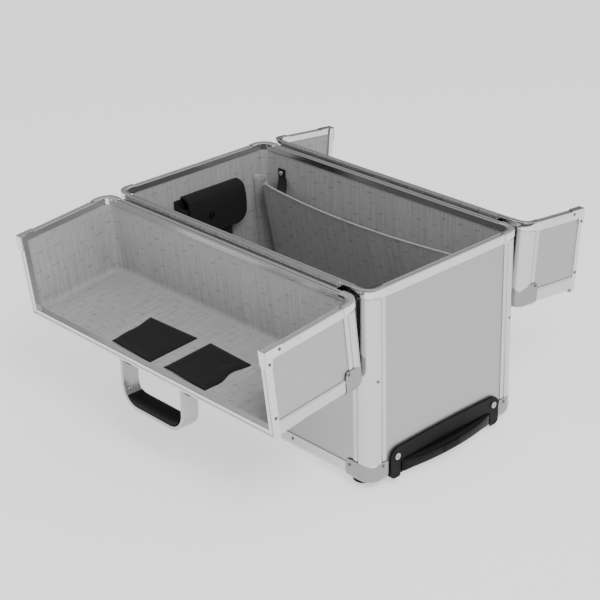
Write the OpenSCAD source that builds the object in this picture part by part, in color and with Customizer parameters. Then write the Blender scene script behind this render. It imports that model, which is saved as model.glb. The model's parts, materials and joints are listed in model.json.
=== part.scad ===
// Rolling aluminium train case for makeup: a deep box with two L-shaped lids, shown wide open.
// X runs along the case, +X is the telescopic handle end, -Y is the larger front lid, +Z is up.
// The origin is on the floor, midway between the body walls.

/* [Body] */
// Length of the case
body_l = 460; // [420:10:500]
// Width of the body between its long walls
body_w = 260; // [250:5:290]
// Height of the body from its bottom edge to its rim
body_h = 253; // [230:1:290]
// Radius of the vertical corners
corner_r = 18; // [16:1:20]
// Thickness of the wall panels
panel_t = 4; // [3:0.5:5]
// Thickness of the fabric lining
lining_t = 1.5; // [1:0.5:2]

/* [Edge profiles] */
// Width of a corner post's flange, measured from the corner
post_w = 27; // [24:1:32]
// Thickness of the lips that lap over the panels
lip_t = 1; // [0.8:0.1:1.2]
// Height of the profile round the bottom edge
base_strip_h = 20; // [16:1:24]
// Height of the profile along the top edge of the lids
lid_strip_h = 22; // [16:1:26]
// Width and height of the rims where the shells meet
rim_w = 8; // [7:0.5:10]
// Thickness of the pressed corner pieces
clip_t = 0.8; // [0.6:0.1:0.9]
// Rounding of the outer long edges
edge_r = 9; // [6:1:10]
// Radius of a rivet's head
rivet_r = 2.2; // [1.8:0.1:2.6]

/* [Lids] */
// Height of both lids
lid_h = 112; // [90:2:130]
// Share of the case's width that the front lid covers
front_lid_w = 145; // [130:1:160]
// How far a lid swings from closed to resting beside the body
lid_swing = 186; // [182:1:186]
// Distance of a hinge pin from the body wall
hinge_out = 7; // [7:0.5:9]

/* [Carry handle] */
// Width of the handle over its arms
handle_w = 118; // [110:2:140]
// Width of the flat bar that the handle is bent from
handle_bar_w = 23; // [20:0.5:24]
// Height of the handle from its pivots
handle_drop = 58; // [56:1:90]

/* [Telescopic handle] */
// Distance between the two telescopic legs
leg_pitch = 120; // [100:5:130]
// Width of the plate round the grip
plate_w = 195; // [180:1:197]
// How far the grip stands out at its middle
grip_out = 13; // [12:1:20]

/* [Running gear] */
// Height of the feet
foot_h = 10; // [8:1:14]
// Diameter of the feet
foot_d = 30; // [24:1:34]
// Radius of the wheels
wheel_r = 20; // [18:1:22]
// Width of a wheel
wheel_w = 22; // [18:1:24]

/* [Inside] */
// Height of the divider board
divider_h = 186; // [150:2:190]
// How far the divider's top edge bows forward
divider_bow = 19; // [10:1:24]
// Height of the tool pouch
pouch_h = 116; // [80:2:140]

/* [Hidden] */
$fn = 48;

base_z = foot_h;                       // bottom edge of the body
rim_z = base_z + body_h;               // top of the body's rim
shell_gap = 2;                         // space between the rims of closed shells
axis_z = rim_z + shell_gap / 2;        // height of both hinge pins
lid_z = rim_z + shell_gap;             // lower rim of a closed lid
top_z = lid_z + lid_h;                 // top of a closed lid
hinge_y = -body_w / 2 - hinge_out;     // front hinge pin
wall_in = lip_t + panel_t;             // from the outside to the inner face of a panel
back_lid_w = body_w - front_lid_w;
floor_z = base_z + 21.5;               // underside of the false floor
floor_t = 3;
inside_z = floor_z + floor_t + lining_t;
lined_in = wall_in + lining_t;         // from the outside to the face of the lining
board_gap = 0.5;                       // room round the false floor
rim_lip = 4;                           // lip below a rim
bottom_lip = corner_r - 4;             // reach of the edge profiles over the bottom and the top
top_lip = corner_r - 1;
rivet_h = 0.9;                         // height of a rivet's head
clip_run = 8;                          // run of a rim clip from the corner's arc
// Pressed ball corners: height of the arc, height of the ears, run on the end, run on the long side.
ball_t = 1.2;
base_ball = [20, 26, 13, 22];
lid_ball = [24, 30, 16, 16];

// ---- shared shapes ------------------------------------------------------------------------

// Places children at the four corners, turned so that they face outwards.
module each_corner(l = body_l, w = body_w, r = corner_r) {
    for (sx = [0, 1], sy = [0, 1])
        mirror([sx, 0, 0]) mirror([0, sy, 0]) translate([l / 2 - r, w / 2 - r, 0]) children();
}

// Sweeps a section round a corner of the body: x is the distance from the corner's centre, y is height.
module corner_sweep(flange = 0) {
    rotate_extrude(angle = 90) children();
    if (flange > 0) {
        rotate([90, 0, 0]) linear_extrude(flange) children();
        mirror([1, -1, 0]) rotate([90, 0, 0]) linear_extrude(flange) children();
    }
}

// A straight run of a section on the +X side, from y0 to y1.
module side_run(y0, y1) {
    translate([body_l / 2 - corner_r, y1, 0]) rotate([90, 0, 0]) linear_extrude(y1 - y0) children();
}

// A straight run of a section on the +Y side, over the whole length between the corners.
module long_run() {
    translate([-body_l / 2 + corner_r, body_w / 2 - corner_r, 0])
        rotate([90, 0, 90]) linear_extrude(body_l - 2 * corner_r) children();
}

// A section swept all round the body.
module ring() {
    each_corner() corner_sweep() children();
    for (s = [0, 1]) {
        mirror([s, 0, 0]) side_run(-body_w / 2 + corner_r, body_w / 2 - corner_r) children();
        mirror([0, s, 0]) long_run() children();
    }
}

// A section swept round a lid: its long wall on the -Y side and its two ends up to the seam.
module lid_ring(seam_y) {
    mirror([0, 1, 0]) long_run() children();
    for (s = [0, 1]) mirror([s, 0, 0]) {
        translate([body_l / 2 - corner_r, -body_w / 2 + corner_r, 0]) rotate([0, 0, -90])
            rotate_extrude(angle = 90) children();
        side_run(-body_w / 2 + corner_r, seam_y) children();
    }
}

// Places children at a lid's two outer corners, turned like each_corner.
module lid_corners() {
    for (s = [0, 1]) mirror([s, 0, 0]) mirror([0, 1, 0])
        translate([body_l / 2 - corner_r, body_w / 2 - corner_r, 0]) children();
}

// Rectangle section between two distances from the outside and two heights.
module band(in0, in1, z0, z1) {
    translate([corner_r - in1, z0]) square([in1 - in0, z1 - z0]);
}

// Section with its lower outer edge rounded, h high and offset outwards by o.
module round_edge(o = 0, h = edge_r) {
    intersection() {
        translate([corner_r - edge_r, base_z + edge_r]) circle(edge_r + o);
        translate([corner_r - edge_r, base_z - o]) square([edge_r + o, edge_r + o]);
    }
    if (h > edge_r)
        translate([corner_r - edge_r, base_z + edge_r]) square([edge_r + o, h - edge_r]);
}

// The same, cut away inside the panels, as the edge profiles are.
module edge_profile() {
    difference() {
        round_edge();
        translate([corner_r - edge_r - 1, base_z + wall_in]) square([edge_r - wall_in + 1, edge_r]);
    }
}

// Pressed corner over the bottom edge, with a taller ear on the end and on the long side.
module ball_corner(size) {
    rotate_extrude(angle = 90) ball_section(size[0]);
    rotate([90, 0, 0]) linear_extrude(size[2]) ball_section(size[1]);
    mirror([1, -1, 0]) rotate([90, 0, 0]) linear_extrude(size[3]) ball_section(size[1]);
}
module ball_section(h) {
    difference() {
        round_edge(ball_t, h);
        round_edge(0, h + 1);
    }
}

// A rounded rectangle centred on the origin.
module rounded(w, h, r) {
    square([w - 2 * r, h], center = true);
    square([w, h - 2 * r], center = true);
    for (sx = [-1, 1], sy = [-1, 1])
        translate([sx * (w / 2 - r), sy * (h / 2 - r)]) circle(r);
}

// Swings a closed front lid to its open rest position.
module opened() {
    translate([0, hinge_y, axis_z]) rotate([lid_swing, 0, 0]) translate([0, -hinge_y, -axis_z]) children();
}

// The same for the back lid, which is modelled as a front lid.
module opened_back() {
    mirror([0, 1, 0]) opened() children();
}

// A rivet head at p on a face that looks along X or Y; out is its outward direction.
module rivet(p, out) {
    translate(p) {
        if (out[0] != 0) rotate([0, 90 * out[0], 0]) cylinder(h = rivet_h, r = rivet_r);
        if (out[1] != 0) rotate([-90 * out[1], 0, 0]) cylinder(h = rivet_h, r = rivet_r);
    }
}

// ---- body ---------------------------------------------------------------------------------

wheel_x = -body_l / 2 + 12;            // the wheels stand out of the left end
wheel_z = 3 + wheel_r;                 // and clear the floor while the case stands on its feet
wheel_y = 80;
housing_w = wheel_w + 10;
housing_l = 40;
housing_top = base_z + 40;
cut_over = 5;                          // how far a cut reaches past the outside
leg_outer = [22, 15];
leg_z = base_z + wall_in + 0.2 + leg_outer[1] / 2;
leg_wall = 1.2;
leg_gap = 0.4;
leg_r = 2.4;
tube_socket = 2.5;                     // how far the inner tubes reach into the grip
leg_middle = [leg_outer[0] - 2 * (leg_wall + leg_gap), leg_outer[1] - 2 * (leg_wall + leg_gap)];
leg_inner = [leg_middle[0] - 2 * (leg_wall + leg_gap), leg_middle[1] - 2 * (leg_wall + leg_gap)];
panel_z0 = base_z + edge_r;
panel_z1 = rim_z - rim_w;

// Room for the two wheel housings, with clearance c.
module housing_room(c = 0.2) {
    for (s = [-1, 1])
        translate([-body_l / 2 - cut_over, s * wheel_y - housing_w / 2 - c, base_z - cut_over])
            cube([housing_l + cut_over + c, housing_w + 2 * c, housing_top - base_z + cut_over + c]);
}

// Room for the two telescopic legs where they leave the body.
module leg_room(c = 0.2) {
    depth = 12;
    for (s = [-1, 1])
        translate([body_l / 2 - depth, s * leg_pitch / 2, leg_z]) rotate([90, 0, 90])
            linear_extrude(2 * depth) square([leg_outer[0] + 2 * c, leg_outer[1] + 2 * c], center = true);
}

module long_panel(s) {
    color([0.82, 0.82, 0.83])
    translate([-body_l / 2 + corner_r, s * (body_w / 2 - lip_t - panel_t / 2) - panel_t / 2, panel_z0])
        cube([body_l - 2 * corner_r, panel_t, panel_z1 - panel_z0]);
}
module long_panels() { for (s = [-1, 1]) long_panel(s); }

module end_panel(s) {
    translate([s * (body_l / 2 - lip_t - panel_t / 2) - panel_t / 2, -body_w / 2 + corner_r, panel_z0])
        cube([panel_t, body_w - 2 * corner_r, panel_z1 - panel_z0]);
}
module left_end_panel() {
    color([0.82, 0.82, 0.83]) difference() { end_panel(-1); housing_room(); }
}
module right_end_panel() {
    color([0.82, 0.82, 0.83]) difference() { end_panel(1); leg_room(); }
}

module bottom_panel() {
    color([0.6, 0.6, 0.6]) difference() {
        translate([-body_l / 2 + corner_r, -body_w / 2 + edge_r, base_z + lip_t])
            cube([body_l - 2 * corner_r, body_w - 2 * edge_r, panel_t]);
        housing_room();
    }
}

module corner_posts() {
    color([0.88, 0.88, 0.89]) each_corner() {
        corner_sweep() band(lip_t, wall_in, panel_z0, panel_z1);
        corner_sweep(post_w - corner_r) band(0, lip_t, base_z + base_strip_h, rim_z - rim_w - rim_lip);
    }
}

module body_rim() {
    color([0.9, 0.9, 0.9]) ring() {
        band(0, rim_w, rim_z - rim_w, rim_z);
        band(0, lip_t, rim_z - rim_w - rim_lip, rim_z - rim_w);
    }
}

module bottom_profile() {
    color([0.88, 0.88, 0.89]) difference() {
        ring() {
            edge_profile();
            band(0, lip_t, base_z + edge_r, base_z + base_strip_h);
            band(edge_r, bottom_lip, base_z, base_z + lip_t);
        }
        housing_room();
        leg_room();
    }
}

module base_ball_corners() {
    color([0.93, 0.93, 0.94]) each_corner() ball_corner(base_ball);
}

module body_rim_clips() {
    color([0.93, 0.93, 0.94]) each_corner() corner_sweep(clip_run) {
        band(-clip_t, rim_w, rim_z, rim_z + clip_t);
        band(-clip_t, 0, rim_z - rim_w, rim_z);
    }
}

// Each place is a distance in from the corner and a height over the base.
module body_rivets() {
    post = [14, 137];
    clip = [corner_r + clip_run / 2, body_h - rim_w / 2];
    end_ear = [21, 22];
    long_ear = [33, 19];
    profile = [133, 14];
    color([0.45, 0.45, 0.45]) for (sx = [-1, 1], sy = [-1, 1]) {
        x = sx * body_l / 2;
        y = sy * body_w / 2;
        rivet([x, y - sy * post[0], base_z + post[1]], [sx, 0, 0]);
        rivet([x + sx * clip_t, y - sy * clip[0], base_z + clip[1]], [sx, 0, 0]);
        rivet([x + sx * ball_t, y - sy * end_ear[0], base_z + end_ear[1]], [sx, 0, 0]);
        rivet([x - sx * long_ear[0], y + sy * ball_t, base_z + long_ear[1]], [0, sy, 0]);
        rivet([x - sx * profile[0], y, base_z + profile[1]], [0, sy, 0]);
    }
}

foot_x = [-162, 196];
foot_y = 106;
foot_rim = 3;                          // height of a foot's straight rim, and its taper below it
end_foot_d = 26;
end_foot_h = 10;
end_foot_up = 216;

module feet() {
    color([0.1, 0.1, 0.1])
    for (x = foot_x, s = [-1, 1]) translate([x, s * foot_y, 0]) {
        cylinder(h = foot_h - foot_rim, d1 = foot_d - foot_rim, d2 = foot_d);
        translate([0, 0, foot_h - foot_rim]) cylinder(h = foot_rim, d = foot_d);
    }
}

// Two feet high on the left end, which carry the case when it lies on that end.
module end_feet() {
    color([0.1, 0.1, 0.1]) for (s = [-1, 1])
        translate([-body_l / 2 + lip_t, s * wheel_y, base_z + end_foot_up]) rotate([0, -90, 0]) {
            cylinder(h = foot_rim, d = end_foot_d);
            translate([0, 0, foot_rim])
                cylinder(h = end_foot_h - foot_rim, d1 = end_foot_d, d2 = end_foot_d - foot_rim);
        }
}

module body_lining() {
    z0 = floor_z + floor_t;
    color([0.62, 0.62, 0.62]) difference() {
        union() {
            ring() band(wall_in, lined_in, z0, panel_z1);
            translate([-body_l / 2 + corner_r, -body_w / 2 + lined_in, z0])
                cube([body_l - 2 * corner_r, body_w - 2 * lined_in, lining_t]);
            for (s = [0, 1]) mirror([s, 0, 0])
                translate([body_l / 2 - corner_r, -body_w / 2 + corner_r, z0])
                    cube([corner_r - lined_in, body_w - 2 * corner_r, lining_t]);
        }
        housing_room(board_gap);
    }
}

module false_floor() {
    color([0.5, 0.45, 0.38]) difference() {
        translate([-body_l / 2 + wall_in + board_gap, -body_w / 2 + corner_r, floor_z])
            cube([body_l - 2 * (wall_in + board_gap), body_w - 2 * corner_r, floor_t]);
        housing_room(board_gap);
    }
}

bearer_x = [-180, 200];                // ends of the four bearers under the false floor
bearer_y = [-104, -30, 30, 104];
bearer_w = 10;

module floor_bearers() {
    color([0.55, 0.42, 0.28]) for (y = bearer_y)
        translate([bearer_x[0], y - bearer_w / 2, base_z + wall_in])
            cube([bearer_x[1] - bearer_x[0], bearer_w, floor_z - base_z - wall_in]);
}

// ---- telescopic handle --------------------------------------------------------------------

leg_x0 = -186;                         // closed ends of the outer tubes
leg_step = 4;                          // how much later each inner pair starts

// Pair of flat tubes from x0 to x1.
module leg(size, x0, x1) {
    for (s = [-1, 1]) translate([x0, s * leg_pitch / 2, leg_z]) rotate([90, 0, 90])
        linear_extrude(x1 - x0) difference() {
            rounded(size[0], size[1], leg_r);
            rounded(size[0] - 2 * leg_wall, size[1] - 2 * leg_wall, leg_r - leg_wall);
        }
}

module handle_outer_tubes() {
    color([0.75, 0.75, 0.76]) leg(leg_outer, leg_x0, body_l / 2);
}

module handle_middle_tubes() {
    color([0.8, 0.8, 0.81]) leg(leg_middle, leg_x0 + leg_step, body_l / 2 + 1);
}

plate_h = 39;
plate_t = 3;
plate_r = 12;
plate_foot_w = 14;                     // the plate's two feet, which reach under the bottom edge
plate_foot_h = 2.5;
plate_foot_in = edge_r + 3;
recess_h = 19.2;
recess_w = 162;
recess_floor = 1.5;
grip_w = 158;
grip_z = base_z + 1.5;
grip_h = 17.1;
grip_x = body_l / 2 + 1.8;
grip_end = 3;                          // how far the grip stands out at its ends
grip_peak = body_l / 2 + grip_out;
grip_rise = grip_peak - grip_x - grip_end;
grip_arc = (pow(grip_w / 2, 2) + pow(grip_rise, 2)) / (2 * grip_rise);
button_w = 30;
button_h = 9;
button_z = grip_z + 4;
button_root = 4;                       // depth of the grip behind the button's pocket
button_travel = 3.4;                   // free depth in the pocket behind the button
button_out = 1.2;

// The plate is screwed over the end; a recess in its lower half takes the grip.
module handle_base_plate() {
    color([0.08, 0.08, 0.08]) difference() {
        union() {
            translate([body_l / 2, 0, base_z]) rotate([90, 0, 90]) linear_extrude(plate_t) union() {
                translate([0, (plate_h - plate_r) / 2])
                    square([plate_w, plate_h - plate_r], center = true);
                translate([0, plate_h / 2]) square([plate_w - 2 * plate_r, plate_h], center = true);
                for (s = [-1, 1])
                    translate([s * (plate_w / 2 - plate_r), plate_h - plate_r]) circle(plate_r);
            }
            for (s = [-1, 1])
                translate([body_l / 2 - plate_foot_in, s * (plate_w - plate_foot_w) / 2 - plate_foot_w / 2,
                           base_z - plate_foot_h])
                    cube([plate_foot_in + plate_t, plate_foot_w, plate_foot_h]);
        }
        translate([body_l / 2 + recess_floor, -recess_w / 2, base_z - 1])
            cube([plate_t, recess_w, recess_h + 1]);
        leg_room();
    }
}

// Cross-slotted screws at the plate's two upper corners.
module base_plate_screws() {
    slot_l = 6;
    slot_w = 1.2;
    head_r = 4.2;
    head_h = 1.4;
    from_end = 10.5;
    from_top = 12;
    color([0.7, 0.7, 0.7]) for (s = [-1, 1])
        translate([body_l / 2 + plate_t, s * (plate_w / 2 - from_end), base_z + plate_h - from_top])
            rotate([0, 90, 0]) difference() {
                cylinder(h = head_h, r = head_r);
                translate([0, 0, head_h]) cube([slot_w, slot_l, head_h], center = true);
                translate([0, 0, head_h]) cube([slot_l, slot_w, head_h], center = true);
            }
}

module telescopic_grip() {
    clear = 0.4;
    color([0.06, 0.06, 0.06]) difference() {
        translate([0, 0, grip_z]) linear_extrude(grip_h) intersection() {
            translate([grip_peak - grip_arc, 0]) circle(grip_arc, $fn = 360);
            translate([grip_x, -grip_w / 2]) square([grip_out, grip_w]);
        }
        translate([grip_x + button_root, -button_w / 2 - clear, button_z - clear])
            cube([grip_out, button_w + 2 * clear, button_h + 2 * clear]);
        for (s = [-1, 1])
            translate([grip_x - 1, s * leg_pitch / 2, leg_z]) rotate([90, 0, 90])
                linear_extrude(1 + tube_socket) rounded(leg_inner[0], leg_inner[1], leg_r);
    }
}

module handle_inner_tubes() {
    color([0.8, 0.8, 0.81]) leg(leg_inner, leg_x0 + 2 * leg_step, grip_x + tube_socket);
}

module grip_button() {
    x0 = grip_x + button_root + button_travel;
    color([0.2, 0.2, 0.2]) translate([x0, -button_w / 2, button_z])
        cube([grip_peak + button_out - x0, button_w, button_h]);
}

// ---- wheels -------------------------------------------------------------------------------

axle_r = 3;
well_gap = 3;                          // room round a wheel in its well
pin_fit = 0.05;                        // running fit of the axles and pins
tyre_r = 3;                            // rounding of a tyre's edges
hub_step = 5;                          // height of the ring pressed into each face of a wheel

// Places children at both wheels, with z along the axles.
module each_wheel(sides = [-1, 1]) {
    for (s = sides) translate([wheel_x, s * wheel_y, wheel_z]) rotate([90, 0, 0]) children();
}

module wheel_housings() {
    well = wheel_r + well_gap;
    color([0.07, 0.07, 0.07]) difference() {
        for (s = [-1, 1]) translate([-body_l / 2 + 0.2, s * wheel_y - housing_w / 2, base_z])
            cube([housing_l - 0.2, housing_w, housing_top - base_z]);
        each_wheel() {
            cylinder(h = wheel_w + 2, r = well, center = true);
            translate([-well, 0, 0]) cube([2 * well, 2 * well, wheel_w + 2], center = true);
            translate([0, -well, 0]) cube([2 * well, 2 * well, wheel_w + 2], center = true);
            cylinder(h = housing_w + 2, r = axle_r + pin_fit, center = true);
        }
    }
}

module wheel_axles() {
    color([0.6, 0.6, 0.6]) each_wheel() cylinder(h = housing_w, r = axle_r, center = true);
}

module wheel(s) {
    tread = wheel_r - tyre_r;
    color([0.12, 0.12, 0.12]) each_wheel([s]) rotate_extrude() difference() {
        union() {
            translate([axle_r + pin_fit, -wheel_w / 2]) square([tread - axle_r, wheel_w]);
            translate([tread, -wheel_w / 2 + tyre_r]) square([tyre_r, wheel_w - 2 * tyre_r]);
            for (e = [-1, 1]) translate([tread, e * (wheel_w / 2 - tyre_r)]) circle(tyre_r);
        }
        for (e = [-1, 1]) translate([axle_r + tyre_r, e * wheel_w / 2 - hub_step / 2])
            square([tread - axle_r - 2 * tyre_r, hub_step]);
    }
}
module front_wheel() { wheel(-1); }
module back_wheel() { wheel(1); }

// ---- hinges -------------------------------------------------------------------------------

hinge_x0 = -200;
hinge_x1 = 190;
knuckle_n = 13;
knuckle_r = 2.8;
hinge_pin_r = 1.5;
leaf_t = 0.9;
leaf_h = 14;
knuckle_pitch = (hinge_x1 - hinge_x0) / knuckle_n;
knuckle_gap = 0.3;                     // from a knuckle's end to the middle of the joint line
leaf_drop = 0.6;                       // how far the leaves stay below the rims

// Leaf of a closed hinge on the -Y side; up is 0 for the body's leaf and 1 for the lid's.
module hinge_leaf(up) {
    translate([0, 0, up * 2 * axis_z]) mirror([0, 0, up]) difference() {
        union() {
            translate([hinge_x0, -body_w / 2 - leaf_t, rim_z - leaf_h])
                cube([hinge_x1 - hinge_x0, leaf_t, leaf_h - leaf_drop]);
            translate([hinge_x0, hinge_y + 1, rim_z - leaf_drop - leaf_t])
                cube([hinge_x1 - hinge_x0, hinge_out - 1, leaf_t]);
            for (i = [up : 2 : knuckle_n - 1])
                translate([hinge_x0 + i * knuckle_pitch + knuckle_gap, hinge_y, axis_z])
                    rotate([0, 90, 0]) cylinder(h = knuckle_pitch - 2 * knuckle_gap, r = knuckle_r);
        }
        for (i = [1 - up : 2 : knuckle_n - 1])
            translate([hinge_x0 + i * knuckle_pitch, hinge_y, axis_z]) rotate([0, 90, 0])
                cylinder(h = knuckle_pitch, r = knuckle_r + 0.4);
        translate([hinge_x0 - 1, hinge_y, axis_z]) rotate([0, 90, 0])
            cylinder(h = hinge_x1 - hinge_x0 + 2, r = hinge_pin_r + pin_fit);
    }
}

module hinge_body_leaves() {
    color([0.8, 0.8, 0.8]) for (s = [0, 1]) mirror([0, s, 0]) hinge_leaf(0);
}

module hinge_pins() {
    color([0.7, 0.7, 0.7]) for (s = [-1, 1])
        translate([hinge_x0, s * hinge_y, axis_z]) rotate([0, 90, 0])
            cylinder(h = hinge_x1 - hinge_x0, r = hinge_pin_r);
}

// ---- lids, modelled closed and on the front side --------------------------------------------

seam_frame_w = 10;
seam_frame_t = 8;
seam_lip = 5;                          // lip of the seam frame over the end panels
angle_run = 24;                        // angle clips at the seam: along the rim, and up the frame
angle_rise = 20;
skin_z = top_z - wall_in;              // underside of a lid's top panel

// Height of a lid's seam face in y, for a lid of width w.
function seam(w) = -body_w / 2 + w - shell_gap / 2;

// Turns body sections upside down, so that they serve the closed lid.
module upended() {
    translate([0, top_z + base_z]) mirror([0, 1]) children();
}

module lid_wall() {
    translate([-body_l / 2 + corner_r, -body_w / 2 + lip_t, lid_z + rim_w])
        cube([body_l - 2 * corner_r, panel_t, top_z - edge_r - lid_z - rim_w]);
}

module lid_top(w) {
    translate([-body_l / 2 + edge_r, -body_w / 2 + corner_r, skin_z])
        cube([body_l - 2 * edge_r, w - corner_r - shell_gap / 2 - seam_frame_t, panel_t]);
    translate([-body_l / 2 + corner_r, -body_w / 2 + edge_r, skin_z])
        cube([body_l - 2 * corner_r, corner_r - edge_r, panel_t]);
}

module lid_ends(w) {
    for (s = [0, 1]) mirror([s, 0, 0])
        translate([body_l / 2 - wall_in, -body_w / 2 + corner_r, lid_z + rim_w])
            cube([panel_t, w - corner_r - shell_gap / 2 - seam_frame_t, top_z - edge_r - lid_z - rim_w]);
}

module lid_posts() {
    lid_corners() {
        corner_sweep() band(lip_t, wall_in, lid_z + rim_w, top_z - edge_r);
        corner_sweep(post_w - corner_r) band(0, lip_t, lid_z + rim_w + rim_lip, top_z - lid_strip_h);
    }
}

// The profile round the top edge, which laps over the walls and over the top.
module lid_edging(w) {
    lid_ring(seam(w) - seam_frame_t) {
        upended() edge_profile();
        band(0, lip_t, top_z - lid_strip_h, top_z - edge_r);
        band(edge_r, top_lip, top_z - lip_t, top_z);
    }
}

// The contact rim and the frame along the seam.
module lid_rim(w) {
    y1 = seam(w);
    lid_ring(y1 - seam_frame_t) {
        band(0, rim_w, lid_z, lid_z + rim_w);
        band(0, lip_t, lid_z + rim_w, lid_z + rim_w + rim_lip);
    }
    for (s = [0, 1]) mirror([s, 0, 0]) {
        translate([body_l / 2 - seam_frame_w, y1 - seam_frame_t, lid_z])
            cube([seam_frame_w, seam_frame_t, top_z - lid_z]);
        translate([body_l / 2 - lip_t, y1 - seam_frame_t - seam_lip, lid_z + rim_w + rim_lip])
            cube([lip_t, seam_lip, top_z - lid_strip_h - lid_z - rim_w - rim_lip]);
    }
    translate([-body_l / 2 + seam_frame_w, y1 - seam_frame_t, top_z - seam_frame_w])
        cube([body_l - 2 * seam_frame_w, seam_frame_t, seam_frame_w]);
}

// Ball corners at the top, clips round the rim's corners and angle clips at the seam.
module lid_trim(w) {
    y1 = seam(w);
    lid_corners() {
        translate([0, 0, top_z + base_z]) mirror([0, 0, 1]) ball_corner(lid_ball);
        corner_sweep(clip_run) {
            band(-clip_t, rim_w, lid_z - clip_t, lid_z);
            band(-clip_t, 0, lid_z, lid_z + rim_w);
        }
    }
    for (s = [0, 1]) mirror([s, 0, 0]) {
        translate([body_l / 2, y1 - angle_run, lid_z - clip_t])
            cube([clip_t, angle_run + clip_t, rim_w + clip_t]);
        translate([body_l / 2, y1 - seam_frame_t, lid_z - clip_t])
            cube([clip_t, seam_frame_t + clip_t, angle_rise]);
        translate([body_l / 2 - rim_w, y1 - angle_run, lid_z - clip_t]) cube([rim_w, angle_run, clip_t]);
        translate([body_l / 2 - seam_frame_w, y1, lid_z - clip_t])
            cube([seam_frame_w, clip_t, angle_rise]);
    }
}

// Rivets in the angle clips, the seam frame, the rim and the ears of the pressed corners.
module lid_rivets(w) {
    y1 = seam(w);
    x = body_l / 2;
    frame_y = y1 - seam_frame_t / 2;
    high_z = top_z - lid_ball[1] + 3;
    ear_y = -body_w / 2 + 29;
    for (s = [-1, 1]) {
        rivet([s * (x + clip_t), y1 - angle_run + 4, lid_z + rim_w / 2], [s, 0, 0]);
        rivet([s * (x + clip_t), frame_y, lid_z + angle_rise - 4], [s, 0, 0]);
        rivet([s * x, frame_y, high_z], [s, 0, 0]);
        rivet([s * x, y1 - w / 3, lid_z + 5], [s, 0, 0]);
        rivet([s * (x + ball_t), ear_y, high_z], [s, 0, 0]);
    }
}

module lid_lining(w) {
    run = w - shell_gap / 2 - seam_frame_t;
    lid_ring(seam(w) - seam_frame_t) band(wall_in, lined_in, lid_z + rim_w, skin_z);
    translate([-body_l / 2 + corner_r, -body_w / 2 + lined_in, skin_z - lining_t])
        cube([body_l - 2 * corner_r, run - lined_in, lining_t]);
    for (s = [0, 1]) mirror([s, 0, 0])
        translate([body_l / 2 - corner_r, -body_w / 2 + corner_r, skin_z - lining_t])
            cube([corner_r - lined_in, run - corner_r, lining_t]);
}

module front_lid_top() { color([0.82, 0.82, 0.83]) opened() lid_top(front_lid_w); }
module front_lid_walls() { color([0.82, 0.82, 0.83]) opened() { lid_wall(); lid_ends(front_lid_w); } }
module front_lid_posts() { color([0.88, 0.88, 0.89]) opened() lid_posts(); }
module front_lid_edging() { color([0.88, 0.88, 0.89]) opened() lid_edging(front_lid_w); }
module front_lid_rim() { color([0.9, 0.9, 0.9]) opened() lid_rim(front_lid_w); }
module front_lid_corners() { color([0.93, 0.93, 0.94]) opened() lid_trim(front_lid_w); }
module front_lid_rivets() { color([0.45, 0.45, 0.45]) opened() lid_rivets(front_lid_w); }
module front_lid_lining() { color([0.62, 0.62, 0.62]) opened() lid_lining(front_lid_w); }
module front_lid_hinge() { color([0.8, 0.8, 0.8]) opened() hinge_leaf(1); }

module back_lid_top() { color([0.82, 0.82, 0.83]) opened_back() lid_top(back_lid_w); }
module back_lid_walls() { color([0.82, 0.82, 0.83]) opened_back() { lid_wall(); lid_ends(back_lid_w); } }
module back_lid_posts() { color([0.88, 0.88, 0.89]) opened_back() lid_posts(); }
module back_lid_edging() { color([0.88, 0.88, 0.89]) opened_back() lid_edging(back_lid_w); }
module back_lid_rim() { color([0.9, 0.9, 0.9]) opened_back() lid_rim(back_lid_w); }
module back_lid_corners() { color([0.93, 0.93, 0.94]) opened_back() lid_trim(back_lid_w); }
module back_lid_rivets() { color([0.45, 0.45, 0.45]) opened_back() lid_rivets(back_lid_w); }
module back_lid_lining() { color([0.62, 0.62, 0.62]) opened_back() lid_lining(back_lid_w); }
module back_lid_hinge() { color([0.8, 0.8, 0.8]) opened_back() hinge_leaf(1); }

// ---- accessory pockets inside the front lid -------------------------------------------------

pocket_w = 80;
pocket_d = 70;
pocket_t = 2.5;
pocket_x = [-42, 61];
pocket_y1 = seam(front_lid_w) - seam_frame_t - 3;

module pocket(x) {
    color([0.1, 0.1, 0.1]) opened()
        translate([x - pocket_w / 2, pocket_y1 - pocket_d, skin_z - lining_t - pocket_t])
            cube([pocket_w, pocket_d, pocket_t]);
}
module front_pocket_left() { pocket(pocket_x[0]); }
module front_pocket_right() { pocket(pocket_x[1]); }

// ---- carry handle ---------------------------------------------------------------------------

handle_pivot_y = -4;
handle_bar_t = 4.5;
handle_bend = 28;
handle_pin_r = 2.5;
grip_pad_t = 12;
grip_pad_w = handle_bar_w - 1;
arm_root_r = handle_bar_w / 2;
handle_lift = arm_root_r + 0.7;        // height of the pivots over the lid
handle_pivot_z = top_z + handle_lift;
ear_t = 3;
ear_r = 6;
ear_gap = 0.4;

// Tilts the handle so that it hangs straight down from the open lid.
module hanging() {
    opened() translate([0, handle_pivot_y, handle_pivot_z]) rotate([180 - lid_swing, 0, 0]) children();
}

// Extrudes an outline drawn in X and Z over the width w, centred on the handle.
module across(w) {
    rotate([90, 0, 0]) translate([0, 0, -w / 2]) linear_extrude(w) children();
}

// Outline of the bent bar in X and Z, from the pivots to the top, shrunk by t.
module bar_outline(t) {
    r = handle_bend - t;
    w = handle_w - 2 * t;
    h = handle_drop - t;
    translate([-w / 2, -arm_root_r]) square([w, h - r + arm_root_r]);
    translate([-w / 2 + r, -arm_root_r]) square([w - 2 * r, h + arm_root_r]);
    for (s = [-1, 1]) translate([s * (w / 2 - r), h - r]) circle(r);
}

// Side view of an arm: as wide as the bar, with a round root about the pivot.
module arm_side() {
    circle(arm_root_r);
    translate([-arm_root_r, 0]) square([2 * arm_root_r, handle_drop]);
}

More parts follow.
